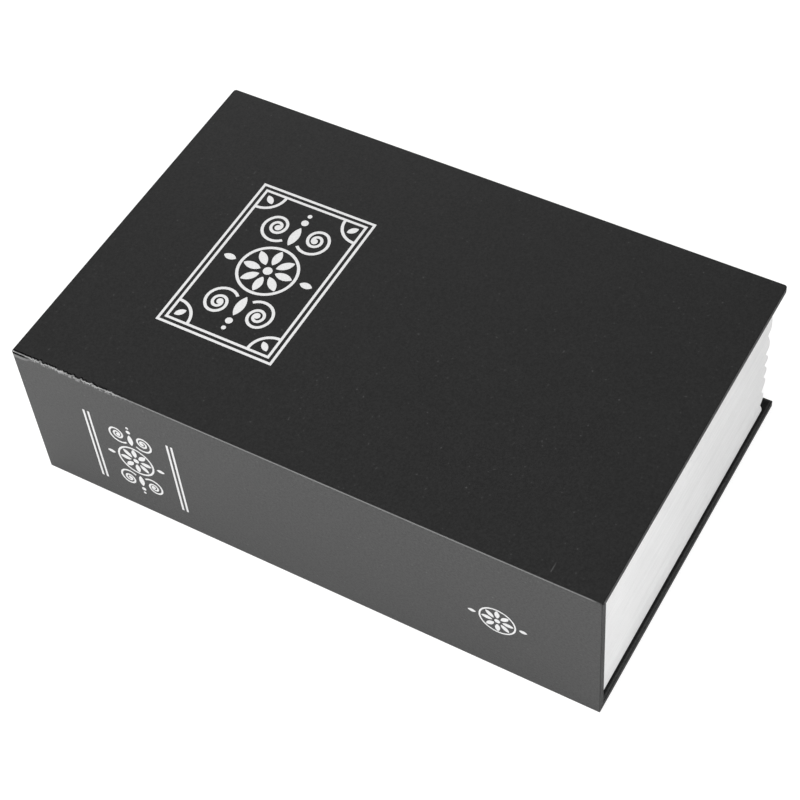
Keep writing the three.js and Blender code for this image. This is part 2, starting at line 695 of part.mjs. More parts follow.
function lidGroup() {
  const lid = new THREE.Group();
  lid.position.set(HINGE_X, 0, HINGE_Z);
  lid.add(meshOf("lid", lidPanel(), POWDER_COAT));
  lid.add(meshOf("lid_hinge_leaf", hingeLeaf(1), POWDER_COAT));
  lid.add(lockGroup());
  return lid;
}

// The fixed leaf has the same section as the lid's. It is turned a quarter, so that it hangs down
// inside the tray's back wall.
function trayHingeGroup() {
  const hinge = new THREE.Group();
  hinge.position.set(HINGE_X, 0, HINGE_Z);
  const leaf = meshOf("tray_hinge_leaf", hingeLeaf(0), POWDER_COAT);
  leaf.rotation.y = Math.PI / 2;
  hinge.add(leaf);
  hinge.add(meshOf("hinge_pin", hingePin(), PLATED_STEEL));
  return hinge;
}

function bookCase() {
  const book = new THREE.Group();
  const back = panel("back", BOOK_WIDTH, false);
  back.position.set(SPINE_X, 0, 0);
  const spine = panel("spine", BOOK_THICKNESS, true);
  spine.position.set(SPINE_X, 0, 0);
  spine.quaternion.setFromAxisAngle(new THREE.Vector3(1, 0, 1).normalize(), Math.PI);
  const front = panel("front", BOOK_WIDTH, false);
  front.position.set(SPINE_X, 0, BOOK_THICKNESS);
  front.rotation.x = Math.PI;
  book.add(back, spine, front);
  return book;
}

const safe = new THREE.Group();
safe.add(bookCase());
safe.add(meshOf("page_shell", pageShell(), PAGE_WHITE));
safe.add(meshOf("tray", tray(), POWDER_COAT));
safe.add(meshOf("strike_bracket", strikeBracket(), POWDER_COAT));
safe.add(trayHingeGroup());
safe.add(lidGroup());

export default safe;
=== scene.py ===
"""The looks of a book diversion safe: paper case, printed ornament, moulded pages, steel box and lock.

Lengths are metres. The book lies on its back cover: +Z is up, +X runs from the spine to the fore edge and
+Y from the tail to the head.
"""

import math
import random

import bpy
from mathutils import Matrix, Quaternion, Vector


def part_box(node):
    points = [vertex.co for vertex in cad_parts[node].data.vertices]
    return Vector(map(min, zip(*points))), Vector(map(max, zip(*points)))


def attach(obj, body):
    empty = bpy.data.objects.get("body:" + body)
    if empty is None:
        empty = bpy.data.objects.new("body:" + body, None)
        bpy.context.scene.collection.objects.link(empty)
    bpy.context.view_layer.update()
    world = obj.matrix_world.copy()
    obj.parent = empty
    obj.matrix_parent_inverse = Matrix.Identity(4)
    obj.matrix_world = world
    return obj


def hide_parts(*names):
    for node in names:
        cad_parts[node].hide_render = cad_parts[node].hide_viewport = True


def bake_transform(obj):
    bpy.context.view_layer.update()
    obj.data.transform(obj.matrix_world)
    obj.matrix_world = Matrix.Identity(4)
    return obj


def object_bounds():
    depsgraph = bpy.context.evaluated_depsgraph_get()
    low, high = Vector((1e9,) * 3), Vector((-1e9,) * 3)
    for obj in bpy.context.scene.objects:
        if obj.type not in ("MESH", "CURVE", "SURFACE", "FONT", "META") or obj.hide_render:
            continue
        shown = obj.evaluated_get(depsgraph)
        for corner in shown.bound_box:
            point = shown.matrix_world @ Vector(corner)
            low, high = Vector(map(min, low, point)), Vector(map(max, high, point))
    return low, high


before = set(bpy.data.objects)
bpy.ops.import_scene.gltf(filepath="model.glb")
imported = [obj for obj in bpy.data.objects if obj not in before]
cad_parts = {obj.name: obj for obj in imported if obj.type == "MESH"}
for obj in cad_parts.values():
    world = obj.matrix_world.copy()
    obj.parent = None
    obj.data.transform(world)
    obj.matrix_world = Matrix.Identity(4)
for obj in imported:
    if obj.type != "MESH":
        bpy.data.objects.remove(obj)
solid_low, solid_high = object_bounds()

# The book's outer faces, taken from the solids
SPINE_X = solid_low.x
FORE_X = solid_high.x
TAIL_Y = solid_low.y
HEAD_Y = solid_high.y
TABLE_Z = solid_low.z
COVER_Z = solid_high.z

# Black paper: its tone and gloss, its fibres, mottle, clouds and specks, how much of the mottle is left on
# the cover, how much of the tone and shine is left where painted shade darkens the turned-in margins, and
# how much of the shine is left at the tail
PAPER_TONE = 0.011
PAPER_SHINE = 0.88
PAPER_ROUGHNESS = 0.52
FIBRE_SIZE = 0.00025
FIBRE_DEPTH = 0.00003
MOTTLE_SIZE = 0.0007
PAPER_CLOUD_SIZE = 0.012
SPECK_SIZE = 0.0007
SPECK_TONE = 0.12
COVER_MOTTLE_SHARE = 0.5
TURNED_IN_SHADE_SHARE = 0.35
TAIL_SHINE_SHARE = 0.3

# The other finishes: their tones, the sizes of their patterns and the depths of their surfaces
LINING_TONE = 0.006
LINING_FIBRE_TONE = 0.01
LINING_FIBRE_SIZE = 0.0004
BOARD_FIBRE_SIZE = 0.0008
BOARD_FIBRE_DEPTH = 0.0001
INK_TONES = (0.76, 0.9)
INK_GRAIN_SIZE = 0.0003
INK_GRAIN_DEPTH = 0.00001
PAGE_TONES = (0.74, 0.84)
PAGE_LINE_SIZE = 0.0005
PAGE_LINE_DEPTH = 0.00003
PAGE_CLOUD_SIZE = 0.02
COAT_TONE = 0.022
COAT_DUST_TONE = 0.01
PEEL_SIZE = 0.0007
PEEL_DEPTH = 0.00006
DUST_SIZE = 0.03
PLATING_CLOUD_SIZE = 0.004
PLATING_SCRATCH_SIZE = 0.0002
PLATING_SCRATCH_DEPTH = 0.000005

# Wear along the fold between spine and cover: a rubbed line, frayed towards the head and split at its end,
# which bares the paper's pale core; painted shade darkens the split and the cover beside the rubbed line
PALE_CORE = 0.5
# Tone of the painted shade in the split and beside the rubbed line
CRACK_SHADE_TONE = 0.002
RUB_WIDTH = 0.00018
RUB_SIZE = 0.006
FRAY_SIZE = 0.0016
FRAY_WANDER = 0.0004
FRAY_REACH = (0.046, 0.062)
FLECK_SIZE = 0.0006
FLECK_REACH = 0.0014
SPLIT_REACH = (0.0815, 0.087)
SPLIT_WIDTH = 0.0009
LIP_WIDTH = 0.002
WEAR_REACH = (0.0035, 0.0045)
RUB_END = (-0.0895, -0.086)

# A short scratch on the cover, across it near the spine's tail
SCRATCH_Y = -0.07445
SCRATCH_WIDTH = 0.00022
SCRATCH_START = (-0.0549, -0.0543)
SCRATCH_REACH = (-0.0532, -0.051)

# Points closer than this are the same point, and a face whose normal has this share of an axis faces it
SAME = 0.000001
FACING_SHARE = 0.9

# Shading is smooth across edges blunter than this, in degrees
SOFT_ANGLE = 35
FOLD_SOFT_ANGLE = 60
PAGE_SOFT_ANGLE = 30

# Case papers
PAPER = 0.00015
INK = 0.00003
TURN_IN = 0.014
FRONT_CORNER_ROUND = 0.0009
BACK_CORNER_ROUND = 0.0003
CORNER_STEPS = 6
RIM_ROUND = 0.00015
RIM_STEPS = 4
TURN_IN_MARGIN = 0.0001
TURN_IN_EDGE = 0.0005
FOLD_GAP = 0.00015
FOLD_REACH = 0.0009
FOLD_ROUND = 0.00035
FOLD_STEPS = 6
FOLD_DIP = 0.00017
FOLD_PAPER = 0.00006
FOLD_COLUMNS = 300
FOLD_FRAY = 0.00005
FOLD_FRAY_SEED = 4
JOINT_START = 0.0006
JOINT_END = 0.00346
JOINT_WIDTH = 0.00016
JOINT_PAPER = 0.00004

# Page shell
LEAF_PITCH = 0.00055
LEAF_GROOVE = 0.00004
LEAF_DEPTHS = (0.00002, 0.00009)
LEAF_SEED = 11
SHELL_EDGE_ROUND = 0.00035
EDGE_STEPS = 3
RIPPLE_DEPTH = 0.002
END_RIPPLE_DEPTH = 0.00015
PAGE_WANDER = 0.00016
PAGE_WANDER_SIZE = 0.009
FORE_EDGE_CUTS = 71
PAGE_END_CUTS = 39
# How high each valley of the page edge lies, how deep it is, and how high the next crest lies
RIPPLE_SHARES = [
    (0.09, 0.75, 0.15),
    (0.225, 0.85, 0.3),
    (0.36, 0.75, 0.4),
    (0.475, 0.9, 0.51),
    (0.58, 1, 0.63),
    (0.75, 0.9, 0.8),
    (1, 0.75, 1),
]
SHELL_WALL = 0.002
SHELL_BACK_WALL = 0.0018
RIM_LIP = 0.0016
RIM_THICKNESS = 0.002
FOOT_THICKNESS = 0.0015
MOUTH_DROP = 0.00455
HINGE_ROOM_DROP = 0.00775
RIB_THICKNESS = 0.0014
RIB_PITCH = 0.025
RIB_DROP = 0.002
LONG_WALL_RIBS = (-2, -1, 0, 1, 2)
SHORT_WALL_RIBS = (-1, 0, 1)
SEAT = 0.0003
OVERRUN = 0.001

# Steel box and lock: how far the edges are eased, and the angles, in degrees, of an edge that is sharp and
# of faces that are flat together
SHEET_EASE = 0.00012
HINGE_EASE = 0.00008
BARREL_EASE = 0.00015
PLUG_EASE = 0.0001
PLATED_EASE = 0.00012
WASHER_EASE = 0.00006
EASE_STEPS = 2
SHARP_ANGLE = 40
FLAT_ANGLE = 0.5

# Ornament, printed in white: a double rule and a centrepiece on the cover, the same between double rules on
# the spine, and a rosette near the spine's tail
FRAME_OUTER = ((-0.03, 0.0227), (0.0276, 0.0605))
FRAME_INNER = ((-0.0282, 0.0245), (0.0258, 0.0587))
RULE = 0.0008
COVER_CENTRE = (-0.0012, 0.0416)
COVER_STROKE = 0.0009
SPINE_RULE = 0.0007
SPINE_RULES_Y = (0.0691, 0.0675, 0.0412, 0.0397)
SPINE_RULE_ENDS = (0.0084, 0.0391)
SPINE_CENTRE = (0.0238, 0.0544)
SPINE_SCALE = 0.66
SPINE_STROKE = 0.00062
# How light the ink stays on the spine, where painted shade darkens it
SPINE_INK_SHADE_SHARE = 0.75
TAIL_CENTRE = (0.0238, -0.0601)
TAIL_SCALE = 0.6
TAIL_STROKE = 0.0005

# The centrepiece at full scale, from its middle
ROSETTE_RING = 0.0184
ROSETTE_EYE = 0.0028
ROSETTE_LEAF = (0.0024, 0.008, 0.0025)
ROSETTE_LEAVES = 8
POINT_LEAF = (0.0106, 0.0146, 0.0021)
SIDE_LEAF = (0.0108, 0.0182, 0.0027)
SIDE_DOTS = ((0.0203, 0.0022), (0.0231, 0.0014))
SCROLL_CENTRE = (0.0151, 0.0058)
SCROLL_RADIUS = 0.0047
SCROLL_SHRINK = 0.66
SCROLL_TURNS = 4
SCROLL_EYE = 0.002
CORNER_ARC = 0.0068
CORNER_LEAF = (0.0016, 0.0052, 0.0019)
RING_POINTS = 72
LEAF_POINTS = 256
EYE_POINTS = 32
DOT_POINTS = 24
SCROLL_POINTS = 14

# Camera, as the photograph was taken
CAMERA_PLACE = (-0.29204, -0.19813, 0.46652)
CAMERA_AIM = (-0.0072, -0.00261, 0.02675)
CAMERA_ROLL = math.radians(6.218)
CAMERA_LENS = 89.13
CAMERA_CLIP = 0.01

# Softboxes: where each hangs, where it points, its two sides and its power
SOFTBOXES = {
    "spine_light": ((-0.5, 0.32, 0.28), (SPINE_X, 0.06, 0.03), (0.4, 0.3), 2.15),
    "tail_light": ((-0.38, -0.37, 0.15), (-0.03, TAIL_Y, 0.03), (0.3, 0.2), 1.0),
    "top_light": ((-0.4, -0.2, 1.1), (0, 0, 0.03), (0.7, 0.7), 1.1),
    "fore_light": ((0.65, 0.42, 0.16), (FORE_X, 0.03, 0.03), (0.5, 0.2), 0.8),
}

# Room light, and how bright the room is in reflections at two heights above the horizon
ROOM_LIGHT = 0.68
MIRRORED_HEIGHTS = (0.2, 0.95)
MIRRORED_LIGHT = (0.35, 0.03)

# The floor: to the eye a glow that still takes a shadow, and how much of the light it returns, with what it
# adds in reflections
FLOOR_SIZE = 6
FLOOR_GLOW = 0.78
FLOOR_SHADE = 0.35
FLOOR_RETURN = 0.8
FLOOR_MIRRORED = 0.15


def deselect():
    if bpy.context.mode != "OBJECT":
        bpy.ops.object.mode_set(mode="OBJECT")
    bpy.ops.object.select_all(action="DESELECT")


def activate(piece):
    deselect()
    piece.select_set(True)
    bpy.context.view_layer.objects.active = piece


def settle(piece, name, scale=(1, 1, 1)):
    """Names a new piece, and puts its size and place into its mesh."""
    activate(piece)
    piece.scale = scale
    bpy.ops.object.transform_apply(location=True, rotation=True, scale=True)
    piece.name = name
    piece.data.name = name
    return piece


def block(name, low, high):
    """A box between two corners."""
    deselect()
    low, high = Vector(low), Vector(high)
    bpy.ops.mesh.primitive_cube_add(size=1, location=(low + high) / 2)
    return settle(bpy.context.object, name, high - low)


def pick(piece, kind, test):
    """Opens a piece for editing with only some of it selected.

    A vertex is tested by its place, an edge by its two ends, and a face by its centre and normal."""
    activate(piece)
    bpy.ops.object.mode_set(mode="EDIT")
    bpy.ops.mesh.select_mode(type=kind)
    bpy.ops.mesh.select_all(action="DESELECT")
    bpy.ops.object.mode_set(mode="OBJECT")
    mesh = piece.data
    points = [v.co for v in mesh.vertices]
    if kind == "VERT":
        for vertex in mesh.vertices:
            vertex.select = test(vertex.co)
    elif kind == "EDGE":
        for edge in mesh.edges:
            edge.select = test(points[edge.vertices[0]], points[edge.vertices[1]])
    else:
        for face in mesh.polygons:
            face.select = test(face.center, face.normal)
    bpy.ops.object.mode_set(mode="EDIT")


def pick_all(piece):
    activate(piece)
    bpy.ops.object.mode_set(mode="EDIT")
    bpy.ops.mesh.select_all(action="SELECT")


def close():
    bpy.ops.object.mode_set(mode="OBJECT")


def near(a, b):
    return abs(a - b) < SAME


def lies_at(axis, place_at):
    """A test for edges: both ends lie at a place along an axis."""
    return lambda a, b: near(getattr(a, axis), place_at) and near(getattr(b, axis), place_at)


def slice_at(piece, point, normal, drop=False, test=None):
    """Cuts a line round a piece with a plane, or only through the faces that pass a test.

    What lies on the normal's side is dropped if asked."""
    if test:
        pick(piece, "FACE", test)
    else:
        pick_all(piece)
    bpy.ops.mesh.bisect(plane_co=point, plane_no=normal, clear_outer=drop, threshold=SAME / 10)
    close()


def remove_faces(piece, test):
    pick(piece, "FACE", test)
    bpy.ops.mesh.delete(type="FACE")
    close()


def round_edges(piece, radius, segments, test):
    pick(piece, "EDGE", test)
    bpy.ops.mesh.bevel(offset=radius, segments=segments, affect="EDGES")
    close()


def modify(piece, kind, **settings):
    activate(piece)
    modifier = piece.modifiers.new(kind.title(), kind)
    for key, value in settings.items():
        setattr(modifier, key, value)
    bpy.ops.object.modifier_apply(modifier=modifier.name)


def carve(piece, tool, operation="DIFFERENCE", use_self=False):
    modify(piece, "BOOLEAN", object=tool, operation=operation, solver="EXACT", use_self=use_self)
    bpy.data.objects.remove(tool)


def smooth(piece, degrees=SOFT_ANGLE):
    activate(piece)
    bpy.ops.object.shade_smooth_by_angle(angle=math.radians(degrees))


def flatten(piece):
    """Keeps the shading of broad faces flat beside their rounded edges."""
    modify(piece, "WEIGHTED_NORMAL", mode="FACE_AREA", weight=50, keep_sharp=True)


def paint(piece, material):
    piece.data.materials.clear()
    piece.data.materials.append(material)


# Materials

def add(tree, kind, inputs=None, **settings):
    """Adds a node. An input given as a socket is linked, and any other value is set."""
    made = tree.nodes.new(kind)
    for key, value in settings.items():
        setattr(made, key, value)
    for key, value in (inputs or {}).items():
        if isinstance(value, bpy.types.NodeSocket):
            tree.links.new(value, made.inputs[key])
        else:
            made.inputs[key].default_value = value
    return made


def maths(tree, operation, *values):
    return add(tree, "ShaderNodeMath", dict(enumerate(values)), operation=operation).outputs[0]


def place(tree, stretch=(1, 1, 1)):
    """Object coordinates, stretched along the axes."""
    coordinates = add(tree, "ShaderNodeTexCoord").outputs["Object"]
    return add(tree, "ShaderNodeMapping", {"Vector": coordinates, "Scale": stretch}).outputs[0]


def axes(tree):
    coordinates = add(tree, "ShaderNodeTexCoord").outputs["Object"]
    return add(tree, "ShaderNodeSeparateXYZ", {"Vector": coordinates}).outputs


def noise(tree, vector, size, detail=2.0, roughness=0.5):
    """Cloudy noise whose patches are about the size given, in metres."""
    inputs = {"Vector": vector, "Scale": 1 / size, "Detail": detail, "Roughness": roughness}
    return add(tree, "ShaderNodeTexNoise", inputs).outputs["Fac"]


def ramp(tree, value, low, high, out_low=0.0, out_high=1.0):
    inputs = {"Value": value, "From Min": low, "From Max": high, "To Min": out_low, "To Max": out_high}
    return add(tree, "ShaderNodeMapRange", inputs, interpolation_type="SMOOTHSTEP").outputs["Result"]


def blend_colours(tree, share, first, second):
    """A mix of two colours, each a socket or three numbers."""
    first, second = [(*colour, 1) if isinstance(colour, tuple) else colour for colour in (first, second)]
    return add(tree, "ShaderNodeMix", {0: share, 6: first, 7: second}, data_type="RGBA").outputs[2]


def bump(tree, height, depth, strength=1.0):
    inputs = {"Height": height, "Distance": depth, "Strength": strength}
    return add(tree, "ShaderNodeBump", inputs).outputs["Normal"]


def grey(value):
    return (value, value, value)


def grey_of(tree, tone):
    """A grey as light as a socket's value."""
    return add(tree, "ShaderNodeCombineColor", {0: tone, 1: tone, 2: tone}).outputs[0]


def finish(name, metallic=0.0, specular=0.5):
    """A new material with its node tree and its shader."""
    material = bpy.data.materials.new(name)
    material.use_nodes = True
    shader = material.node_tree.nodes["Principled BSDF"]
    shader.inputs["Metallic"].default_value = metallic
    shader.inputs["Specular IOR Level"].default_value = specular
    return material, material.node_tree, shader


def wire(tree, shader, **sockets):
    names = {
        "colour": "Base Color",
        "roughness": "Roughness",
        "specular": "Specular IOR Level",
        "normal": "Normal",
    }
    for key, value in sockets.items():
        tree.links.new(value, shader.inputs[names[key]])


def between(tree, value, low, high, soft):
    """1 where a value lies between two limits, fading over a soft width outside them."""
    rise = ramp(tree, maths(tree, "SUBTRACT", value, low), -soft, 0)
    fall = ramp(tree, maths(tree, "SUBTRACT", value, high), 0, soft, 1, 0)
    return maths(tree, "MULTIPLY", rise, fall)


def product(tree, *values):
    made = values[0]
    for value in values[1:]:
        made = maths(tree, "MULTIPLY", made, value)
    return made


def worn_fold(tree, y, from_spine, from_cover):
    """How much the fold between spine and cover is rubbed, and where painted shade darkens it.

    Returns the share that shows the pale core of the paper, and the share of painted shade, near black,
    in the split and beside the rubbed line."""
    across = maths(tree, "SUBTRACT", from_cover, from_spine)
    along = place(tree, (0, 1, 0))
    ragged = ramp(tree, noise(tree, along, FRAY_SIZE, 4, 0.7), 0.35, 0.65, -1, 1)
    patchy = noise(tree, along, RUB_SIZE, 3, 0.6)
    flecked = noise(tree, place(tree), FLECK_SIZE, 2)
    head = ramp(tree, y, *FRAY_REACH)
    split = ramp(tree, y, *SPLIT_REACH)
    wander = product(tree, ragged, head, ramp(tree, split, 0, 1, FRAY_WANDER, FRAY_WANDER / 4))
    off = maths(tree, "SUBTRACT", across, wander)

    # The rubbed line, with flecks below it on the spine and painted shade beside it on the cover
    line = ramp(tree, maths(tree, "ABSOLUTE", off), RUB_WIDTH, 1.6 * RUB_WIDTH, 1, 0)
    rubbed = maths(tree, "MULTIPLY_ADD", head, ramp(tree, patchy, 0.4, 0.62, 0, 0.5), 0.22)
    line = product(tree, line, rubbed, ramp(tree, y, *RUB_END))
    below = between(tree, off, RUB_WIDTH, FLECK_REACH / 2, FLECK_REACH / 2)
    flecks = product(tree, below, head, ramp(tree, flecked, 0.48, 0.6, 0, 0.4))
    shade = between(tree, off, -4 * RUB_WIDTH, -2 * RUB_WIDTH, RUB_WIDTH / 2)
    shade = product(tree, shade, head, ramp(tree, patchy, 0.5, 0.6, 0.9, 0))

    # The split at the head: painted shade in it, over a pale lip
    foot = maths(tree, "MULTIPLY_ADD", split, SPLIT_WIDTH, RUB_WIDTH)
    split_shade = product(tree, between(tree, off, 1.5 * RUB_WIDTH, foot, RUB_WIDTH / 2), split)
    lip_foot = maths(tree, "MULTIPLY_ADD", split, LIP_WIDTH, RUB_WIDTH)
    lip = product(tree, between(tree, off, foot, lip_foot, 2 * RUB_WIDTH), split, 0.2)

    close_by = ramp(tree, maths(tree, "ADD", from_spine, from_cover), *WEAR_REACH, 1, 0)
    wear_and_shade = maths(tree, "MAXIMUM", maths(tree, "MAXIMUM", line, flecks), lip)
    # Painted shade: the split and the cover beside the rubbed line
    painted_shade = maths(tree, "MAXIMUM", split_shade, shade)
    return maths(tree, "MULTIPLY", wear_and_shade, close_by), maths(tree, "MULTIPLY", painted_shade, close_by)


def paper_black():
    """Printed black paper: fine fibres, a mottled coat and a few light specks; rubbed along the fold, with
    painted shade in the fold's split and beside its rubbed line, and on the turned-in margins.
    """
    material, tree, shader = finish("Black paper")
    fibres = noise(tree, place(tree), FIBRE_SIZE, 3, 0.6)
    mottle = ramp(tree, noise(tree, place(tree), MOTTLE_SIZE, 3, 0.75), 0.3, 0.7, -1, 1)
    clouds = noise(tree, place(tree), PAPER_CLOUD_SIZE, 4)
    specks = ramp(tree, noise(tree, place(tree), SPECK_SIZE, 0), 0.82, 0.9, 0, 0.4)
    x, y, z = axes(tree)
    from_spine = maths(tree, "SUBTRACT", x, SPINE_X)
    from_cover = maths(tree, "SUBTRACT", COVER_Z, z)
    mottle = product(tree, mottle, ramp(tree, from_cover, 0, FOLD_REACH, COVER_MOTTLE_SHARE, 1))
    wear_and_shade, crack_shade = worn_fold(tree, y, from_spine, from_cover)

    # Painted shade: the turned-in margins are darker and less shiny, except in a narrow band along the
    # outer edges
    above_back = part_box("back_wrap")[1].z - TURN_IN_MARGIN
    below_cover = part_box("front_wrap")[0].z + TURN_IN_MARGIN
    turned_in_shade = between(tree, z, above_back, below_cover, SAME)
    from_head = maths(tree, "SUBTRACT", HEAD_Y, maths(tree, "ABSOLUTE", y))
    from_edge = maths(tree, "MINIMUM", from_head, maths(tree, "SUBTRACT", FORE_X, x))
    inside = ramp(tree, from_edge, TURN_IN_EDGE, 2 * TURN_IN_EDGE)
    spine_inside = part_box("spine_wrap")[1].x + TURN_IN_MARGIN
    past_spine = ramp(tree, x, spine_inside, spine_inside + PAPER)
    turned_in_shade = product(tree, turned_in_shade, inside, past_spine)

    scratch = maths(tree, "ABSOLUTE", maths(tree, "SUBTRACT", y, SCRATCH_Y))
    scratch = ramp(tree, scratch, SCRATCH_WIDTH / 4, SCRATCH_WIDTH, 1, 0)
    scratch = product(tree, scratch, ramp(tree, x, *SCRATCH_REACH, 0.5, 0), ramp(tree, x, *SCRATCH_START))
    scratch = product(tree, scratch, ramp(tree, from_cover, 2 * INK, 3 * INK, 1, 0))

    tone = maths(tree, "MULTIPLY_ADD", mottle, PAPER_TONE * 0.2, PAPER_TONE * 0.8)
    tone = maths(tree, "MULTIPLY_ADD", fibres, PAPER_TONE / 2, tone)
    tone = product(tree, tone, ramp(tree, clouds, 0.2, 0.8, 0.94, 1.06))
    # Painted shade on the turned-in margins
    tone = product(tree, tone, ramp(tree, turned_in_shade, 0, 1, 1, TURNED_IN_SHADE_SHARE))
    marks = maths(tree, "MAXIMUM", specks, scratch)
    marked = blend_colours(tree, marks, grey_of(tree, tone), grey(SPECK_TONE))
    rubbed = blend_colours(tree, wear_and_shade, marked, grey(PALE_CORE))
    # Painted shade: near black in the fold's split and beside its rubbed line
    colour = blend_colours(tree, crack_shade, rubbed, grey(CRACK_SHADE_TONE))

    broken = maths(tree, "MAXIMUM", wear_and_shade, crack_shade)
    gloss = maths(tree, "MULTIPLY_ADD", mottle, 0.06, PAPER_ROUGHNESS)
    gloss = maths(tree, "MAXIMUM", gloss, maths(tree, "MULTIPLY", broken, 0.95))
    shine = maths(tree, "MULTIPLY_ADD", mottle, PAPER_SHINE * 0.3, PAPER_SHINE)
    from_tail = maths(tree, "SUBTRACT", y, TAIL_Y)
    tail = ramp(tree, from_tail, RIM_ROUND / 2, 2 * RIM_ROUND, TAIL_SHINE_SHARE, 1)
    # The painted shade on the turned-in margins lowers their shine too
    dull = ramp(tree, turned_in_shade, 0, 1, 1, TURNED_IN_SHADE_SHARE)
    # The shine goes almost to nothing where the fold's shade is painted
    shine = product(tree, shine, tail, dull, ramp(tree, crack_shade, 0, 1, 1, 0.05))
    grain = bump(tree, maths(tree, "MULTIPLY_ADD", mottle, 0.4, fibres), FIBRE_DEPTH, 0.8)
    wire(tree, shader, colour=colour, roughness=gloss, specular=shine, normal=grain)
    return material


def paper_lining():
    material, tree, shader = finish("Black lining paper", specular=0.15)
    fibres = noise(tree, place(tree), LINING_FIBRE_SIZE, 3, 0.6)
    tone = maths(tree, "MULTIPLY_ADD", fibres, LINING_FIBRE_TONE, LINING_TONE)
    colour = grey_of(tree, tone)
    gloss = maths(tree, "MULTIPLY_ADD", fibres, 0.15, 0.6)
    wire(tree, shader, colour=colour, roughness=gloss, normal=bump(tree, fibres, FIBRE_DEPTH))
    return material


def board_grey():
    material, tree, shader = finish("Greyboard", specular=0.2)
    fibres = noise(tree, place(tree, (1, 1, 4)), BOARD_FIBRE_SIZE, 5, 0.7)
    colour = blend_colours(tree, fibres, (0.19, 0.18, 0.16), (0.34, 0.32, 0.29))
    gloss = maths(tree, "MULTIPLY_ADD", fibres, 0.1, 0.85)
    wire(tree, shader, colour=colour, roughness=gloss, normal=bump(tree, fibres, BOARD_FIBRE_DEPTH))
    return material


def ink_white():
    """White ink, with painted shade that darkens it on the spine."""
    material, tree, shader = finish("White ink", specular=0.4)
    grain = noise(tree, place(tree), INK_GRAIN_SIZE, 2)
    from_spine = maths(tree, "SUBTRACT", axes(tree)[0], SPINE_X)
    # Painted shade: the ink on the spine is darker, against the stronger light there
    wear_and_shade = ramp(tree, from_spine, 2 * INK, 3 * INK, SPINE_INK_SHADE_SHARE, 1)
    tone = maths(tree, "MULTIPLY", ramp(tree, grain, 0.25, 0.75, *INK_TONES), wear_and_shade)
    colour = grey_of(tree, tone)
    gloss = maths(tree, "MULTIPLY_ADD", grain, 0.1, 0.45)
    wire(tree, shader, colour=colour, roughness=gloss, normal=bump(tree, grain, INK_GRAIN_DEPTH))
    return material


def plastic_white():
    """The moulded pages: white plastic with fine level lines."""
    material, tree, shader = finish("Page-white plastic", specular=0.35)
    leaves = noise(tree, place(tree, (0.02, 0.02, 1)), PAGE_LINE_SIZE, 3, 0.7)
    clouds = noise(tree, place(tree), PAGE_CLOUD_SIZE, 3)
    shade = maths(tree, "MULTIPLY_ADD", clouds, 0.3, maths(tree, "MULTIPLY", leaves, 0.7))
    dark, light = PAGE_TONES
    colour = blend_colours(tree, ramp(tree, shade, 0.3, 0.7), grey(dark), grey(light))
    gloss = maths(tree, "MULTIPLY_ADD", leaves, 0.15, 0.45)
    wire(tree, shader, colour=colour, roughness=gloss, normal=bump(tree, leaves, PAGE_LINE_DEPTH, 0.6))
    return material


def coat_black():
    """Powder coat: satin black with a fine orange-peel skin."""
    material, tree, shader = finish("Black powder coat", specular=0.5)
    peel = noise(tree, place(tree), PEEL_SIZE, 2)
    dust = noise(tree, place(tree), DUST_SIZE, 3)
    tone = maths(tree, "MULTIPLY_ADD", dust, COAT_DUST_TONE, COAT_TONE)
    colour = grey_of(tree, tone)
    gloss = maths(tree, "MULTIPLY_ADD", peel, 0.12, 0.34)
    wire(tree, shader, colour=colour, roughness=gloss, normal=bump(tree, peel, PEEL_DEPTH, 0.8))
    return material


def plated(name, dark, light, low_gloss, high_gloss):
    """Plated metal with cloudy patches and fine scratches."""
    material, tree, shader = finish(name, metallic=1.0)
    clouds = noise(tree, place(tree), PLATING_CLOUD_SIZE, 4, 0.6)
    scratches = noise(tree, place(tree, (1, 0.06, 1)), PLATING_SCRATCH_SIZE, 2)
    colour = blend_colours(tree, clouds, dark, light)
    dullness = maths(tree, "MULTIPLY_ADD", scratches, 0.5, maths(tree, "MULTIPLY", clouds, 0.5))
    gloss = ramp(tree, dullness, 0.2, 0.8, low_gloss, high_gloss)
    relief = bump(tree, scratches, PLATING_SCRATCH_DEPTH, 0.6)
    wire(tree, shader, colour=colour, roughness=gloss, normal=relief)
    return material


BLACK_PAPER = paper_black()
LINING_PAPER = paper_lining()
GREYBOARD = board_grey()
WHITE_INK = ink_white()
WHITE_PLASTIC = plastic_white()
BLACK_COAT = coat_black()
ZINC = plated("Zinc plate", (0.54, 0.55, 0.57), (0.64, 0.65, 0.66), 0.3, 0.42)
NICKEL = plated("Nickel plate", (0.63, 0.61, 0.57), (0.71, 0.69, 0.65), 0.2, 0.28)
BRASS = plated("Brass", (0.52, 0.36, 0.13), (0.68, 0.5, 0.21), 0.25, 0.45)


# Case papers

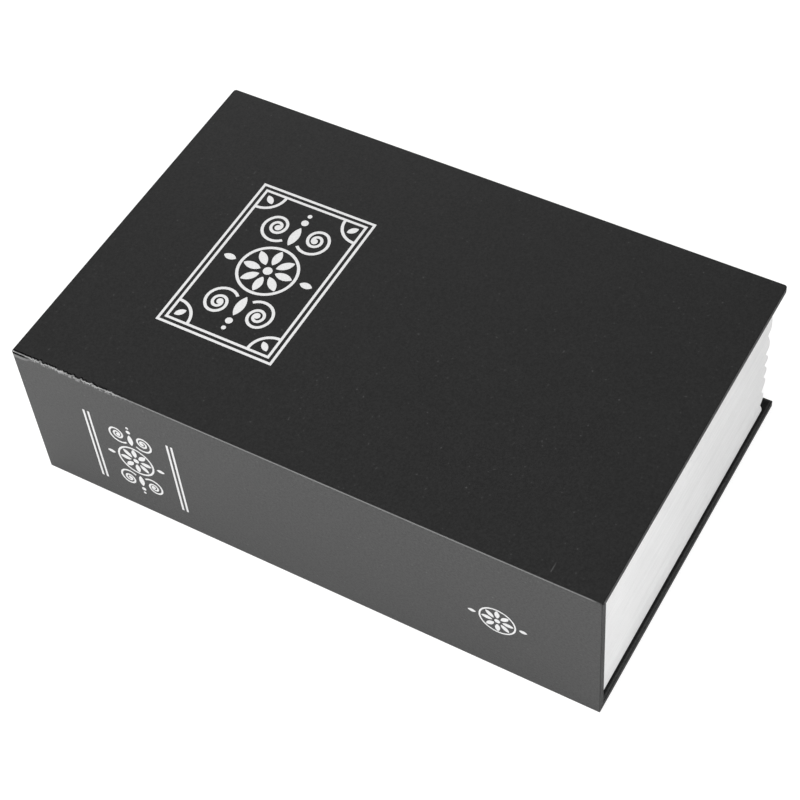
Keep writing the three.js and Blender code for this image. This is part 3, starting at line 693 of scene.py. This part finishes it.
def front_paper():
    """The paper on the front board, turned in over its inner side and cut to a mitre at the fold."""
    low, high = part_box("front_wrap")
    top = high.z - INK
    piece = block("front_paper", (SPINE_X, low.y, low.z), (high.x, high.y, top))
    at_fore_edge = lies_at("x", high.x)
    at_fold = lies_at("x", SPINE_X)
    round_edges(piece, FRONT_CORNER_ROUND, CORNER_STEPS, lambda a, b: at_fore_edge(a, b) and near(a.y, b.y))
    round_edges(piece, RIM_ROUND, RIM_STEPS, lambda a, b: near(a.z, b.z) and not at_fold(a, b))
    slice_at(piece, (SPINE_X + FOLD_GAP, 0, COVER_Z), (-1, 0, -1), drop=True)
    slice_at(piece, (SPINE_X + INK + FOLD_REACH, 0, 0), (-1, 0, 0))
    tip = SPINE_X + FOLD_GAP + INK
    pick(piece, "VERT", lambda p: near(p.z, top) and p.x < tip + FOLD_GAP)
    bpy.ops.transform.translate(value=(0, 0, -FOLD_DIP))
    close()
    for y, way in ((high.y - TURN_IN, 1), (low.y + TURN_IN, -1)):
        slice_at(piece, (0, y, 0), (0, way, 0))
    slice_at(piece, (high.x - TURN_IN, 0, 0), (1, 0, 0))

    def between_turn_ins(c, n):
        under_board = n.z < -FACING_SHARE and near(c.z, low.z)
        return under_board and c.x < high.x - TURN_IN and abs(c.y) < high.y - TURN_IN

    remove_faces(piece, between_turn_ins)
    modify(piece, "SOLIDIFY", thickness=PAPER, offset=-1, use_even_offset=True)
    smooth(piece)
    flatten(piece)
    paint(piece, BLACK_PAPER)
    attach(piece, "front_cover")
    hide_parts("front_wrap")
    return piece


def case_paper():
    """The paper on the back and spine boards, in one piece round their fold."""
    low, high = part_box("back_wrap")
    outer = SPINE_X + INK
    inner = SPINE_X + high.z - low.z
    top = COVER_Z - INK
    piece = block("case_paper", (outer, low.y, low.z), high)
    at_fore_edge = lies_at("x", high.x)
    round_edges(piece, BACK_CORNER_ROUND, CORNER_STEPS, lambda a, b: at_fore_edge(a, b) and near(a.y, b.y))
    slice_at(piece, (inner, 0, 0), (1, 0, 0))
    pick(piece, "FACE", lambda c, n: n.z > FACING_SHARE and c.x < inner)
    bpy.ops.mesh.extrude_region_move(TRANSFORM_OT_translate={"value": (0, 0, top - high.z)})
    close()
    at_inner_wall = lies_at("x", inner)
    at_spine_end = lies_at("z", top)

    def rim(a, b):
        corner = near(a.x, b.x) and near(a.y, b.y) and a.x > inner + BACK_CORNER_ROUND
        inside = at_inner_wall(a, b) and (near(a.z, b.z) or max(a.z, b.z) < high.z + INK)
        return not (corner or inside or at_spine_end(a, b))

    round_edges(piece, RIM_ROUND, RIM_STEPS, rim)
    mitre = (SPINE_X, 0, COVER_Z - FOLD_GAP)
    slice_at(piece, mitre, (1, 0, 1), drop=True, test=lambda c, n: c.x < inner + INK and c.z > high.z)
    slice_at(piece, (0, 0, top - FOLD_REACH), (0, 0, 1))
    tip = COVER_Z - 2 * FOLD_GAP - 2 * INK
    pick(piece, "VERT", lambda p: near(p.x, outer) and p.z > tip)
    bpy.ops.transform.translate(value=(FOLD_DIP, 0, 0))
    close()
    for y, way in ((high.y - TURN_IN, 1), (low.y + TURN_IN, -1)):
        slice_at(piece, (0, y, 0), (0, way, 0))
    slice_at(piece, (high.x - TURN_IN, 0, 0), (1, 0, 0))

    def between_turn_ins(c, n):
        on_back = n.z > FACING_SHARE and near(c.z, high.z) and c.x < high.x - TURN_IN
        on_spine = n.x > FACING_SHARE and near(c.x, inner)
        return abs(c.y) < high.y - TURN_IN and (on_back or on_spine)

    remove_faces(piece, between_turn_ins)
    modify(piece, "SOLIDIFY", thickness=PAPER, offset=-1, use_even_offset=True)
    smooth(piece)
    flatten(piece)
    paint(piece, BLACK_PAPER)
    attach(piece, "case_and_tray")
    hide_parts("back_wrap", "spine_wrap")
    return piece


def fold_paper():
    """The strip of the same paper round the fold between spine and cover."""
    outer = SPINE_X + INK + FOLD_FRAY
    top = COVER_Z - INK - FOLD_FRAY
    low = (outer, TAIL_Y + RIM_ROUND / 2, top - FOLD_REACH)
    high = (outer + FOLD_REACH, HEAD_Y - RIM_ROUND / 2, top)
    piece = block("fold_paper", low, high)
    remove_faces(piece, lambda c, n: n.z < FACING_SHARE and n.x > -FACING_SHARE)
    at_side = lies_at("x", outer)
    at_top = lies_at("z", top)
    round_edges(piece, FOLD_ROUND, FOLD_STEPS, lambda a, b: at_side(a, b) and at_top(a, b))
    pick(piece, "EDGE", lambda a, b: not near(a.y, b.y))
    bpy.ops.mesh.subdivide(number_cuts=FOLD_COLUMNS)
    close()
    reach = FOLD_REACH - FOLD_ROUND
    pick(piece, "VERT", lambda p: p.y > 0 and p.x < outer + reach and p.z > top - reach)
    bpy.ops.transform.vertex_random(offset=FOLD_FRAY, seed=FOLD_FRAY_SEED)
    close()
    modify(piece, "SOLIDIFY", thickness=FOLD_PAPER, offset=-1, use_even_offset=True)
    smooth(piece, FOLD_SOFT_ANGLE)
    paint(piece, BLACK_PAPER)
    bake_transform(piece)
    return piece


def joint_lining():
    """The lining paper in the joint, folded double in the mitre."""
    deselect()
    middle = (JOINT_START + JOINT_END) / 2
    step = math.sqrt(0.5)
    place_at = (SPINE_X + middle * step, 0, COVER_Z - middle * step)
    size = (JOINT_END - JOINT_START, HEAD_Y - TAIL_Y - 2 * RIM_ROUND, JOINT_WIDTH)
    bpy.ops.mesh.primitive_cube_add(size=1, location=place_at, rotation=(0, math.radians(45), 0))
    piece = settle(bpy.context.object, "joint_lining", size)
    inwards = Vector((step, 0, -step))
    remove_faces(piece, lambda c, n: n.dot(inwards) > FACING_SHARE or abs(n.y) > FACING_SHARE)
    modify(piece, "SOLIDIFY", thickness=JOINT_PAPER, offset=-1, use_even_offset=True)
    paint(piece, LINING_PAPER)
    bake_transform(piece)
    return piece


# Printed ornament, drawn flat in a sheet's own X and Y, with its ink rising along +Z

def thicken(piece):
    """Gives a flat print the thickness of its ink, upwards from the sheet."""
    pick_all(piece)
    bpy.ops.mesh.extrude_region_move(TRANSFORM_OT_translate={"value": (0, 0, INK)})
    bpy.ops.mesh.select_all(action="SELECT")
    bpy.ops.mesh.normals_make_consistent(inside=False)
    close()


def outline(piece, stroke):
    """Turns a filled flat shape into a line round its rim."""
    pick_all(piece)
    bpy.ops.mesh.inset(thickness=stroke, use_even_offset=True)
    bpy.ops.mesh.delete(type="FACE")
    close()


def disc(name, centre, size, points, stroke=0):
    """A flat round shape, filled or as a line."""
    deselect()
    bpy.ops.mesh.primitive_circle_add(vertices=points, radius=0.5, fill_type="NGON", location=(*centre, 0))
    piece = settle(bpy.context.object, name, (*size, 1))
    if stroke:
        outline(piece, stroke)
    return piece


def bar(name, low, high, stroke=0):
    """A flat rectangle, filled or as a line."""
    deselect()
    middle = ((low[0] + high[0]) / 2, (low[1] + high[1]) / 2, 0)
    bpy.ops.mesh.primitive_plane_add(size=1, location=middle)
    piece = settle(bpy.context.object, name, (high[0] - low[0], high[1] - low[1], 1))
    if stroke:
        outline(piece, stroke)
    return piece


def leaf(foot, tip, width):
    """A flat pointed leaf between two points: a slice of a disc and its mirror image."""
    foot, tip = Vector((*foot, 0)), Vector((*tip, 0))
    run = tip - foot
    half = width / 2
    radius = (run.length_squared / 4 + half * half) / width
    piece = disc("leaf", (0, half - radius), (2 * radius, 2 * radius), LEAF_POINTS)
    slice_at(piece, (0, 0, 0), (0, -1, 0), drop=True)
    pick_all(piece)
    bpy.ops.mesh.duplicate()
    bpy.ops.transform.resize(value=(1, -1, 1), center_override=(0, 0, 0))
    bpy.ops.mesh.flip_normals()
    close()
    piece.rotation_euler.z = math.atan2(run.y, run.x)
    piece.location = (foot + tip) / 2
    return settle(piece, "leaf")


def scroll(centre, radius, start, way, stroke, eye):
    """A flat line that curls in by half turns, each tighter than the one before, to a round eye.

    It starts at an angle from its first centre, and runs anticlockwise where way is 1."""
    outward = Vector((math.cos(start), math.sin(start), 0))
    middle = Vector((*centre, 0))
    begin = middle + outward * (radius - stroke / 2)
    piece = bar("scroll", (0, -stroke / 2), (stroke, stroke / 2))
    pick(piece, "VERT", lambda p: p.y > 0)
    bpy.ops.mesh.delete(type="VERT")
    close()
    pick_all(piece)
    bpy.ops.transform.translate(value=(0, stroke / 2, 0))
    bpy.ops.transform.rotate(value=-start, orient_axis="Z", center_override=(0, 0, 0))
    bpy.ops.transform.translate(value=begin)
    for _ in range(SCROLL_TURNS):
        bpy.ops.mesh.spin(steps=SCROLL_POINTS, angle=way * math.pi, center=middle, axis=(0, 0, 1))
        outward = -outward
        middle = middle + outward * radius * (1 - SCROLL_SHRINK)
        radius *= SCROLL_SHRINK
    close()
    end = middle + outward * (radius - eye / 2 + stroke / 2)
    return [piece, disc("eye", end.xy, (eye, eye), DOT_POINTS)]


def rosette(centre, scale, stroke):
    """Leaves round an eye, in a ring, with a pointed leaf above and below."""
    ring = ROSETTE_RING * scale
    eye = ROSETTE_EYE * scale
    made = [
        disc("ring", centre, (ring, ring), RING_POINTS, stroke),
        disc("eye", centre, (eye, eye), EYE_POINTS),
    ]
    leaves = [(math.tau * i / ROSETTE_LEAVES, ROSETTE_LEAF) for i in range(ROSETTE_LEAVES)]
    leaves += [(math.pi / 2, POINT_LEAF), (-math.pi / 2, POINT_LEAF)]
    for angle, (near_end, far_end, width) in leaves:
        way = Vector((math.cos(angle), math.sin(angle))) * scale
        middle = Vector(centre)
        made.append(leaf(middle + way * near_end, middle + way * far_end, width * scale))
    return made


def centrepiece(centre, scale, stroke):
    """A rosette between two leafy ends with scrolls."""
    made = rosette(centre, scale, stroke)
    middle = Vector(centre)
    near_end, far_end, width = SIDE_LEAF
    for side in (1, -1):
        foot = middle + Vector((side * near_end, 0)) * scale
        tip = middle + Vector((side * far_end, 0)) * scale
        made.append(leaf(foot, tip, width * scale))
        for place_x, size in SIDE_DOTS:
            dot = middle + Vector((side * place_x, 0)) * scale
            made.append(disc("dot", dot, (size * scale, size * scale), DOT_POINTS))
        for half in (1, -1):
            curl = middle + Vector((side * SCROLL_CENTRE[0], half * SCROLL_CENTRE[1])) * scale
            start = math.atan2(-half, -side)
            made += scroll(curl, SCROLL_RADIUS * scale, start, side * half, stroke, SCROLL_EYE * scale)
    return made


def corner_piece(corner, way_x, way_y, stroke):
    """A quarter ring with a leaf in it, in a corner of the frame."""
    x, y = corner
    ring = disc("corner", corner, (2 * CORNER_ARC, 2 * CORNER_ARC), RING_POINTS, stroke)
    slice_at(ring, (x, y, 0), (-way_x, 0, 0), drop=True)
    slice_at(ring, (x, y, 0), (0, -way_y, 0), drop=True)
    near_end, far_end, width = CORNER_LEAF
    diagonal = Vector((way_x, way_y)).normalized()
    middle = Vector(corner)
    return [ring, leaf(middle + diagonal * near_end, middle + diagonal * far_end, width)]


def joined(shapes):
    """Joins flat shapes and inks them."""
    activate(shapes[0])
    for shape in shapes:
        shape.select_set(True)
    bpy.ops.object.join()
    piece = bpy.context.object
    pick_all(piece)
    bpy.ops.mesh.remove_doubles(threshold=SAME)
    close()
    thicken(piece)
    return piece


def printed(name, rules, shapes, turn, shift, body):
    """Makes one print of rules and shapes, and lays it on its face.

    Nothing is left inside the ink where they touch or cross."""
    piece = joined(shapes)
    carve(piece, joined(rules), "UNION", use_self=True)
    piece.rotation_euler = turn
    piece.location = shift
    settle(piece, name)
    paint(piece, WHITE_INK)
    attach(piece, body)
    return piece


def cover_print():
    rules = [bar("frame", *FRAME_OUTER, RULE), bar("frame", *FRAME_INNER, RULE)]
    shapes = centrepiece(COVER_CENTRE, 1, COVER_STROKE)
    (low_x, low_y), (high_x, high_y) = FRAME_INNER
    for x, way_x in ((low_x + RULE, 1), (high_x - RULE, -1)):
        for y, way_y in ((low_y + RULE, 1), (high_y - RULE, -1)):
            shapes += corner_piece((x, y), way_x, way_y, COVER_STROKE)
    return printed("cover_print", rules, shapes, (0, 0, 0), (0, 0, COVER_Z - INK), "front_cover")


def spine_print():
    rules = []
    for y in SPINE_RULES_Y:
        low = (SPINE_RULE_ENDS[0], y - SPINE_RULE / 2)
        high = (SPINE_RULE_ENDS[1], y + SPINE_RULE / 2)
        rules.append(bar("rule", low, high))
    shapes = centrepiece(SPINE_CENTRE, SPINE_SCALE, SPINE_STROKE)
    shapes += rosette(TAIL_CENTRE, TAIL_SCALE, TAIL_STROKE)
    turn = (0, math.radians(-90), 0)
    return printed("spine_print", rules, shapes, turn, (SPINE_X + INK, 0, 0), "case_and_tray")


# Page shell

def ripple(share):
    """How deep the page edge lies at a height, as a share of the ripple depth.

    The crests are round and the valleys sharp."""
    low = 0
    for valley, deep, high in RIPPLE_SHARES:
        if share <= valley:
            return deep * (1 - math.cos((share - low) / (valley - low) * math.pi / 2))
        if share <= high:
            return deep * (1 - math.sin((share - valley) / (high - valley) * math.pi / 2))
        low = high
    return 0


def leaf_rings(bottom, top):
    """Heights and insets of the page edge from the bottom up: leaves with a fine groove between them.

    The foot and the top are rounded."""
    chance = random.Random(LEAF_SEED)
    height = top - bottom
    rings = []

    def add_ring(z, inset):
        rings.append((z, ripple((z - bottom) / height), inset))

    for step in range(EDGE_STEPS):
        turn = math.pi / 2 * (1 - step / EDGE_STEPS)
        z = bottom + SHELL_EDGE_ROUND * (1 - math.sin(turn))
        add_ring(z, SHELL_EDGE_ROUND * (1 - math.cos(turn)))
    first = bottom + SHELL_EDGE_ROUND
    count = round((height - 2 * SHELL_EDGE_ROUND) / LEAF_PITCH)
    pitch = (height - 2 * SHELL_EDGE_ROUND) / count
    for i in range(count):
        z = first + i * pitch
        groove = chance.uniform(*LEAF_DEPTHS) if i else 0
        for offset, inset in ((0, groove), (LEAF_GROOVE, 0), (pitch - LEAF_GROOVE, 0)):
            add_ring(z + offset, inset)
    for step in range(1, EDGE_STEPS + 1):
        turn = math.pi / 2 * step / EDGE_STEPS
        z = top - SHELL_EDGE_ROUND * (1 - math.sin(turn))
        add_ring(z, SHELL_EDGE_ROUND * (1 - math.cos(turn)))
    return rings


def page_skin(low, high):
    """The shell's outer form, drawn up ring by ring from its outline."""
    deselect()
    rings = leaf_rings(low.z, high.z)
    wide, deep = high.x - low.x, high.y - low.y
    start = ((low.x + high.x) / 2, (low.y + high.y) / 2, low.z)
    bpy.ops.mesh.primitive_plane_add(size=1, location=start)
    piece = settle(bpy.context.object, "page_shell_skin", (wide, deep, 1))
    bpy.ops.object.mode_set(mode="EDIT")
    bpy.ops.mesh.delete(type="ONLY_FACE")
    close()
    crosswise = lambda a, b: near(a.y, b.y)
    for cuts, test in ((FORE_EDGE_CUTS, lies_at("x", high.x)), (PAGE_END_CUTS, crosswise)):
        pick(piece, "EDGE", test)
        bpy.ops.mesh.subdivide(number_cuts=cuts)
        close()
    pick_all(piece)
    bpy.ops.mesh.select_mode(type="EDGE")
    bpy.ops.mesh.select_all(action="SELECT")
    across, along = wide, deep / 2
    anchor = (low.x, 0, low.z)
    last = low.z
    for z, share, groove in rings:
        new_across = wide - share * RIPPLE_DEPTH - groove
        new_along = deep / 2 - share * END_RIPPLE_DEPTH - groove
        if z > last:
            bpy.ops.mesh.extrude_edges_move(TRANSFORM_OT_translate={"value": (0, 0, z - last)})
        stretch = (new_across / across, new_along / along, 1)
        bpy.ops.transform.resize(value=stretch, center_override=anchor)
        across, along, last = new_across, new_along, z
    close()
    return piece


def cap(piece, z):
    pick(piece, "EDGE", lies_at("z", z))
    bpy.ops.mesh.edge_face_add()
    close()


def ribs(low, inner_x, inner_y):
    """Ribs that steady the tray, in rows along the four walls, as one set of boxes."""
    tray_low, tray_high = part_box("tray")
    lid_low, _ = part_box("lid")
    leaf_low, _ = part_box("tray_hinge_leaf")
    half = RIB_THICKNESS / 2
    top = lid_low.z - RIB_DROP
    back_top = leaf_low.z - RIB_DROP
    back = low.x + SHELL_BACK_WALL - OVERRUN
    made = []
    for i in LONG_WALL_RIBS:
        ys = (i * RIB_PITCH - half, i * RIB_PITCH + half)
        made.append(((tray_high.x + SEAT, ys[0], low.z), (inner_x + OVERRUN, ys[1], top)))
        made.append(((back, ys[0], low.z), (tray_low.x - SEAT, ys[1], back_top)))
    for i in SHORT_WALL_RIBS:
        xs = (i * RIB_PITCH - half, i * RIB_PITCH + half)
        made.append(((xs[0], tray_high.y + SEAT, low.z), (xs[1], inner_y + OVERRUN, top)))
        made.append(((xs[0], -inner_y - OVERRUN, low.z), (xs[1], tray_low.y - SEAT, top)))
    boxes = [block(f"rib_{i}", a, b) for i, (a, b) in enumerate(made)]
    activate(boxes[0])
    for box in boxes:
        box.select_set(True)
    bpy.ops.object.join()
    return bpy.context.object


def page_shell():
    low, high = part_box("page_shell")
    piece = page_skin(low, high)
    wander = bpy.data.textures.new("Page wander", "CLOUDS")
    wander.noise_scale = PAGE_WANDER_SIZE
    pick(piece, "VERT", lambda p: p.x > high.x - 2 * RIPPLE_DEPTH)
    bpy.ops.object.vertex_group_assign_new()
    close()
    modify(
        piece,
        "DISPLACE",
        texture=wander,
        texture_coords="LOCAL",
        strength=PAGE_WANDER,
        mid_level=1.0,
        direction="X",
        vertex_group=piece.vertex_groups[0].name,
    )
    cap(piece, low.z)
    cap(piece, high.z)
    pick_all(piece)
    bpy.ops.mesh.normals_make_consistent(inside=False)
    close()
    tray_low, tray_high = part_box("tray")
    inner_x = high.x - RIPPLE_DEPTH - SHELL_WALL
    inner_y = high.y - END_RIPPLE_DEPTH - SHELL_WALL
    back_x = low.x + SHELL_BACK_WALL
    over = high.z + OVERRUN
    hollow = block(
        "hollow",
        (back_x, -inner_y, low.z + FOOT_THICKNESS),
        (inner_x, inner_y, high.z - RIM_THICKNESS),
    )
    mouth = block(
        "mouth",
        (back_x, RIM_LIP - inner_y, high.z - MOUTH_DROP),
        (inner_x - RIM_LIP, inner_y - RIM_LIP, over),
    )
    tray_hole = block(
        "tray_hole",
        (tray_low.x - SEAT, tray_low.y - SEAT, low.z - OVERRUN),
        (tray_high.x + SEAT, tray_high.y + SEAT, low.z + FOOT_THICKNESS + OVERRUN),
    )
    hinge_room = block(
        "hinge_room",
        (low.x - OVERRUN, RIM_LIP - inner_y, high.z - HINGE_ROOM_DROP),
        (back_x + OVERRUN, inner_y - RIM_LIP, over),
    )
    for tool in (hollow, mouth, tray_hole, hinge_room):
        carve(piece, tool)
    carve(piece, ribs(low, inner_x, inner_y), "UNION")
    settle(piece, "page_moulding")
    smooth(piece, PAGE_SOFT_ANGLE)
    paint(piece, WHITE_PLASTIC)
    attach(piece, "case_and_tray")
    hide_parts("page_shell")
    return piece


# Steel box and lock

def eased(node, name, material, body, edge):
    """A node's form with its sharp edges eased, as bending, plating and coating leave them."""
    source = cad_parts[node]
    piece = bpy.data.objects.new(name, source.data.copy())
    bpy.context.scene.collection.objects.link(piece)
    piece.data.name = name
    pick_all(piece)
    bpy.ops.mesh.remove_doubles(threshold=SAME)
    bpy.ops.mesh.dissolve_limited(angle_limit=math.radians(FLAT_ANGLE))
    close()
    modify(
        piece,
        "BEVEL",
        width=edge,
        segments=EASE_STEPS,
        limit_method="ANGLE",
        angle_limit=math.radians(SHARP_ANGLE),
        use_clamp_overlap=True,
    )
    smooth(piece)
    flatten(piece)
    paint(piece, material)
    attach(piece, body)
    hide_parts(node)
    return piece


def steel_box():
    eased("tray", "steel_tray", BLACK_COAT, "case_and_tray", SHEET_EASE)
    eased("strike_bracket", "strike_angle", BLACK_COAT, "case_and_tray", SHEET_EASE)
    eased("tray_hinge_leaf", "fixed_leaf", BLACK_COAT, "case_and_tray", HINGE_EASE)
    eased("lid_hinge_leaf", "moving_leaf", BLACK_COAT, "box_lid", HINGE_EASE)
    eased("lid", "steel_lid", BLACK_COAT, "box_lid", SHEET_EASE)


def cam_lock():
    eased("lock_body", "lock_barrel", NICKEL, "box_lid", BARREL_EASE)
    eased("lock_nut", "lock_hex_nut", ZINC, "box_lid", PLATED_EASE)
    eased("lock_plug", "lock_core_plug", NICKEL, "lock_core", PLUG_EASE)
    eased("lock_cam", "cam_plate", ZINC, "lock_core", PLATED_EASE)
    eased("stop_washer", "stop_plate", ZINC, "lock_core", WASHER_EASE)
    eased("spring_washer", "split_washer", ZINC, "lock_core", WASHER_EASE)
    eased("cam_screw", "slotted_screw", ZINC, "lock_core", PLATED_EASE)


def dress_solids():
    """Finishes for the solids that show as they are."""
    looks = {
        GREYBOARD: ("front_board", "spine_board", "back_board"),
        LINING_PAPER: ("front_lining", "spine_lining", "back_lining"),
        ZINC: ("hinge_pin",),
        BRASS: tuple(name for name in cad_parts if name.startswith("wafer_")),
    }
    for material, names in looks.items():
        for name in names:
            paint(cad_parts[name], material)


# Floor, light and camera

def floor():
    deselect()
    bpy.ops.mesh.primitive_plane_add(size=FLOOR_SIZE, location=(0, 0, TABLE_Z))
    piece = settle(bpy.context.object, "floor")
    material = bpy.data.materials.new("White floor")
    material.use_nodes = True
    tree = material.node_tree
    tree.nodes.clear()
    rays = add(tree, "ShaderNodeLightPath").outputs
    seen = maths(tree, "MAXIMUM", rays["Is Camera Ray"], rays["Is Transmission Ray"])
    shadowed = add(tree, "ShaderNodeBsdfDiffuse", {"Color": (*grey(FLOOR_SHADE), 1)}).outputs[0]
    glow = add(tree, "ShaderNodeEmission", {"Color": (*grey(1), 1), "Strength": FLOOR_GLOW}).outputs[0]
    shown = add(tree, "ShaderNodeAddShader", {0: shadowed, 1: glow}).outputs[0]
    bounce = maths(tree, "MULTIPLY_ADD", rays["Is Glossy Ray"], FLOOR_MIRRORED, FLOOR_RETURN)
    lit = add(tree, "ShaderNodeBsdfDiffuse", {"Color": bounce}).outputs[0]
    mixed = add(tree, "ShaderNodeMixShader", {0: seen, 1: lit, 2: shown}).outputs[0]
    add(tree, "ShaderNodeOutputMaterial", {"Surface": mixed})
    paint(piece, material)


def surroundings():
    """A white room that gives soft light. In reflections it is bright at the horizon and dim above."""
    world = bpy.data.worlds.new("Studio")
    bpy.context.scene.world = world
    world.use_nodes = True
    tree = world.node_tree
    tree.nodes.clear()
    rays = add(tree, "ShaderNodeLightPath").outputs
    direction = add(tree, "ShaderNodeTexCoord").outputs["Generated"]
    up = add(tree, "ShaderNodeSeparateXYZ", {0: direction}).outputs[2]
    mirrored = ramp(tree, up, *MIRRORED_HEIGHTS, *MIRRORED_LIGHT)
    clear = maths(tree, "MAXIMUM", rays["Is Camera Ray"], rays["Is Transmission Ray"])
    strength = maths(tree, "MULTIPLY", rays["Is Glossy Ray"], mirrored)
    strength = maths(tree, "MAXIMUM", strength, clear)
    strength = maths(tree, "MAXIMUM", strength, maths(tree, "MULTIPLY", rays["Is Diffuse Ray"], ROOM_LIGHT))
    background = add(tree, "ShaderNodeBackground", {"Color": (*grey(1), 1), "Strength": strength})
    add(tree, "ShaderNodeOutputWorld", {"Surface": background.outputs[0]})


def softbox(name, place_at, aim, size, power):
    deselect()
    bpy.ops.object.light_add(type="AREA", location=place_at)
    lamp = bpy.context.object
    lamp.name = name
    lamp.data.shape = "RECTANGLE"
    lamp.data.size, lamp.data.size_y = size
    lamp.data.energy = power
    lamp.rotation_euler = (Vector(aim) - Vector(place_at)).to_track_quat("-Z", "Y").to_euler()


def lights():
    for name, (place_at, aim, size, power) in SOFTBOXES.items():
        softbox(name, place_at, aim, size, power)


def camera():
    deselect()
    bpy.ops.object.camera_add(location=CAMERA_PLACE)
    eye = bpy.context.object
    eye.name = "camera"
    look = (Vector(CAMERA_AIM) - Vector(CAMERA_PLACE)).to_track_quat("-Z", "Y")
    eye.rotation_euler = (look @ Quaternion((0, 0, 1), -CAMERA_ROLL)).to_euler()
    eye.data.lens = CAMERA_LENS
    eye.data.clip_start = CAMERA_CLIP
    bpy.context.scene.camera = eye
    bpy.context.scene.view_settings.view_transform = "Standard"


camera()
surroundings()
lights()
floor()
front_paper()
case_paper()
fold_paper()
joint_lining()
cover_print()
spine_print()
page_shell()
steel_box()
cam_lock()
dress_solids()
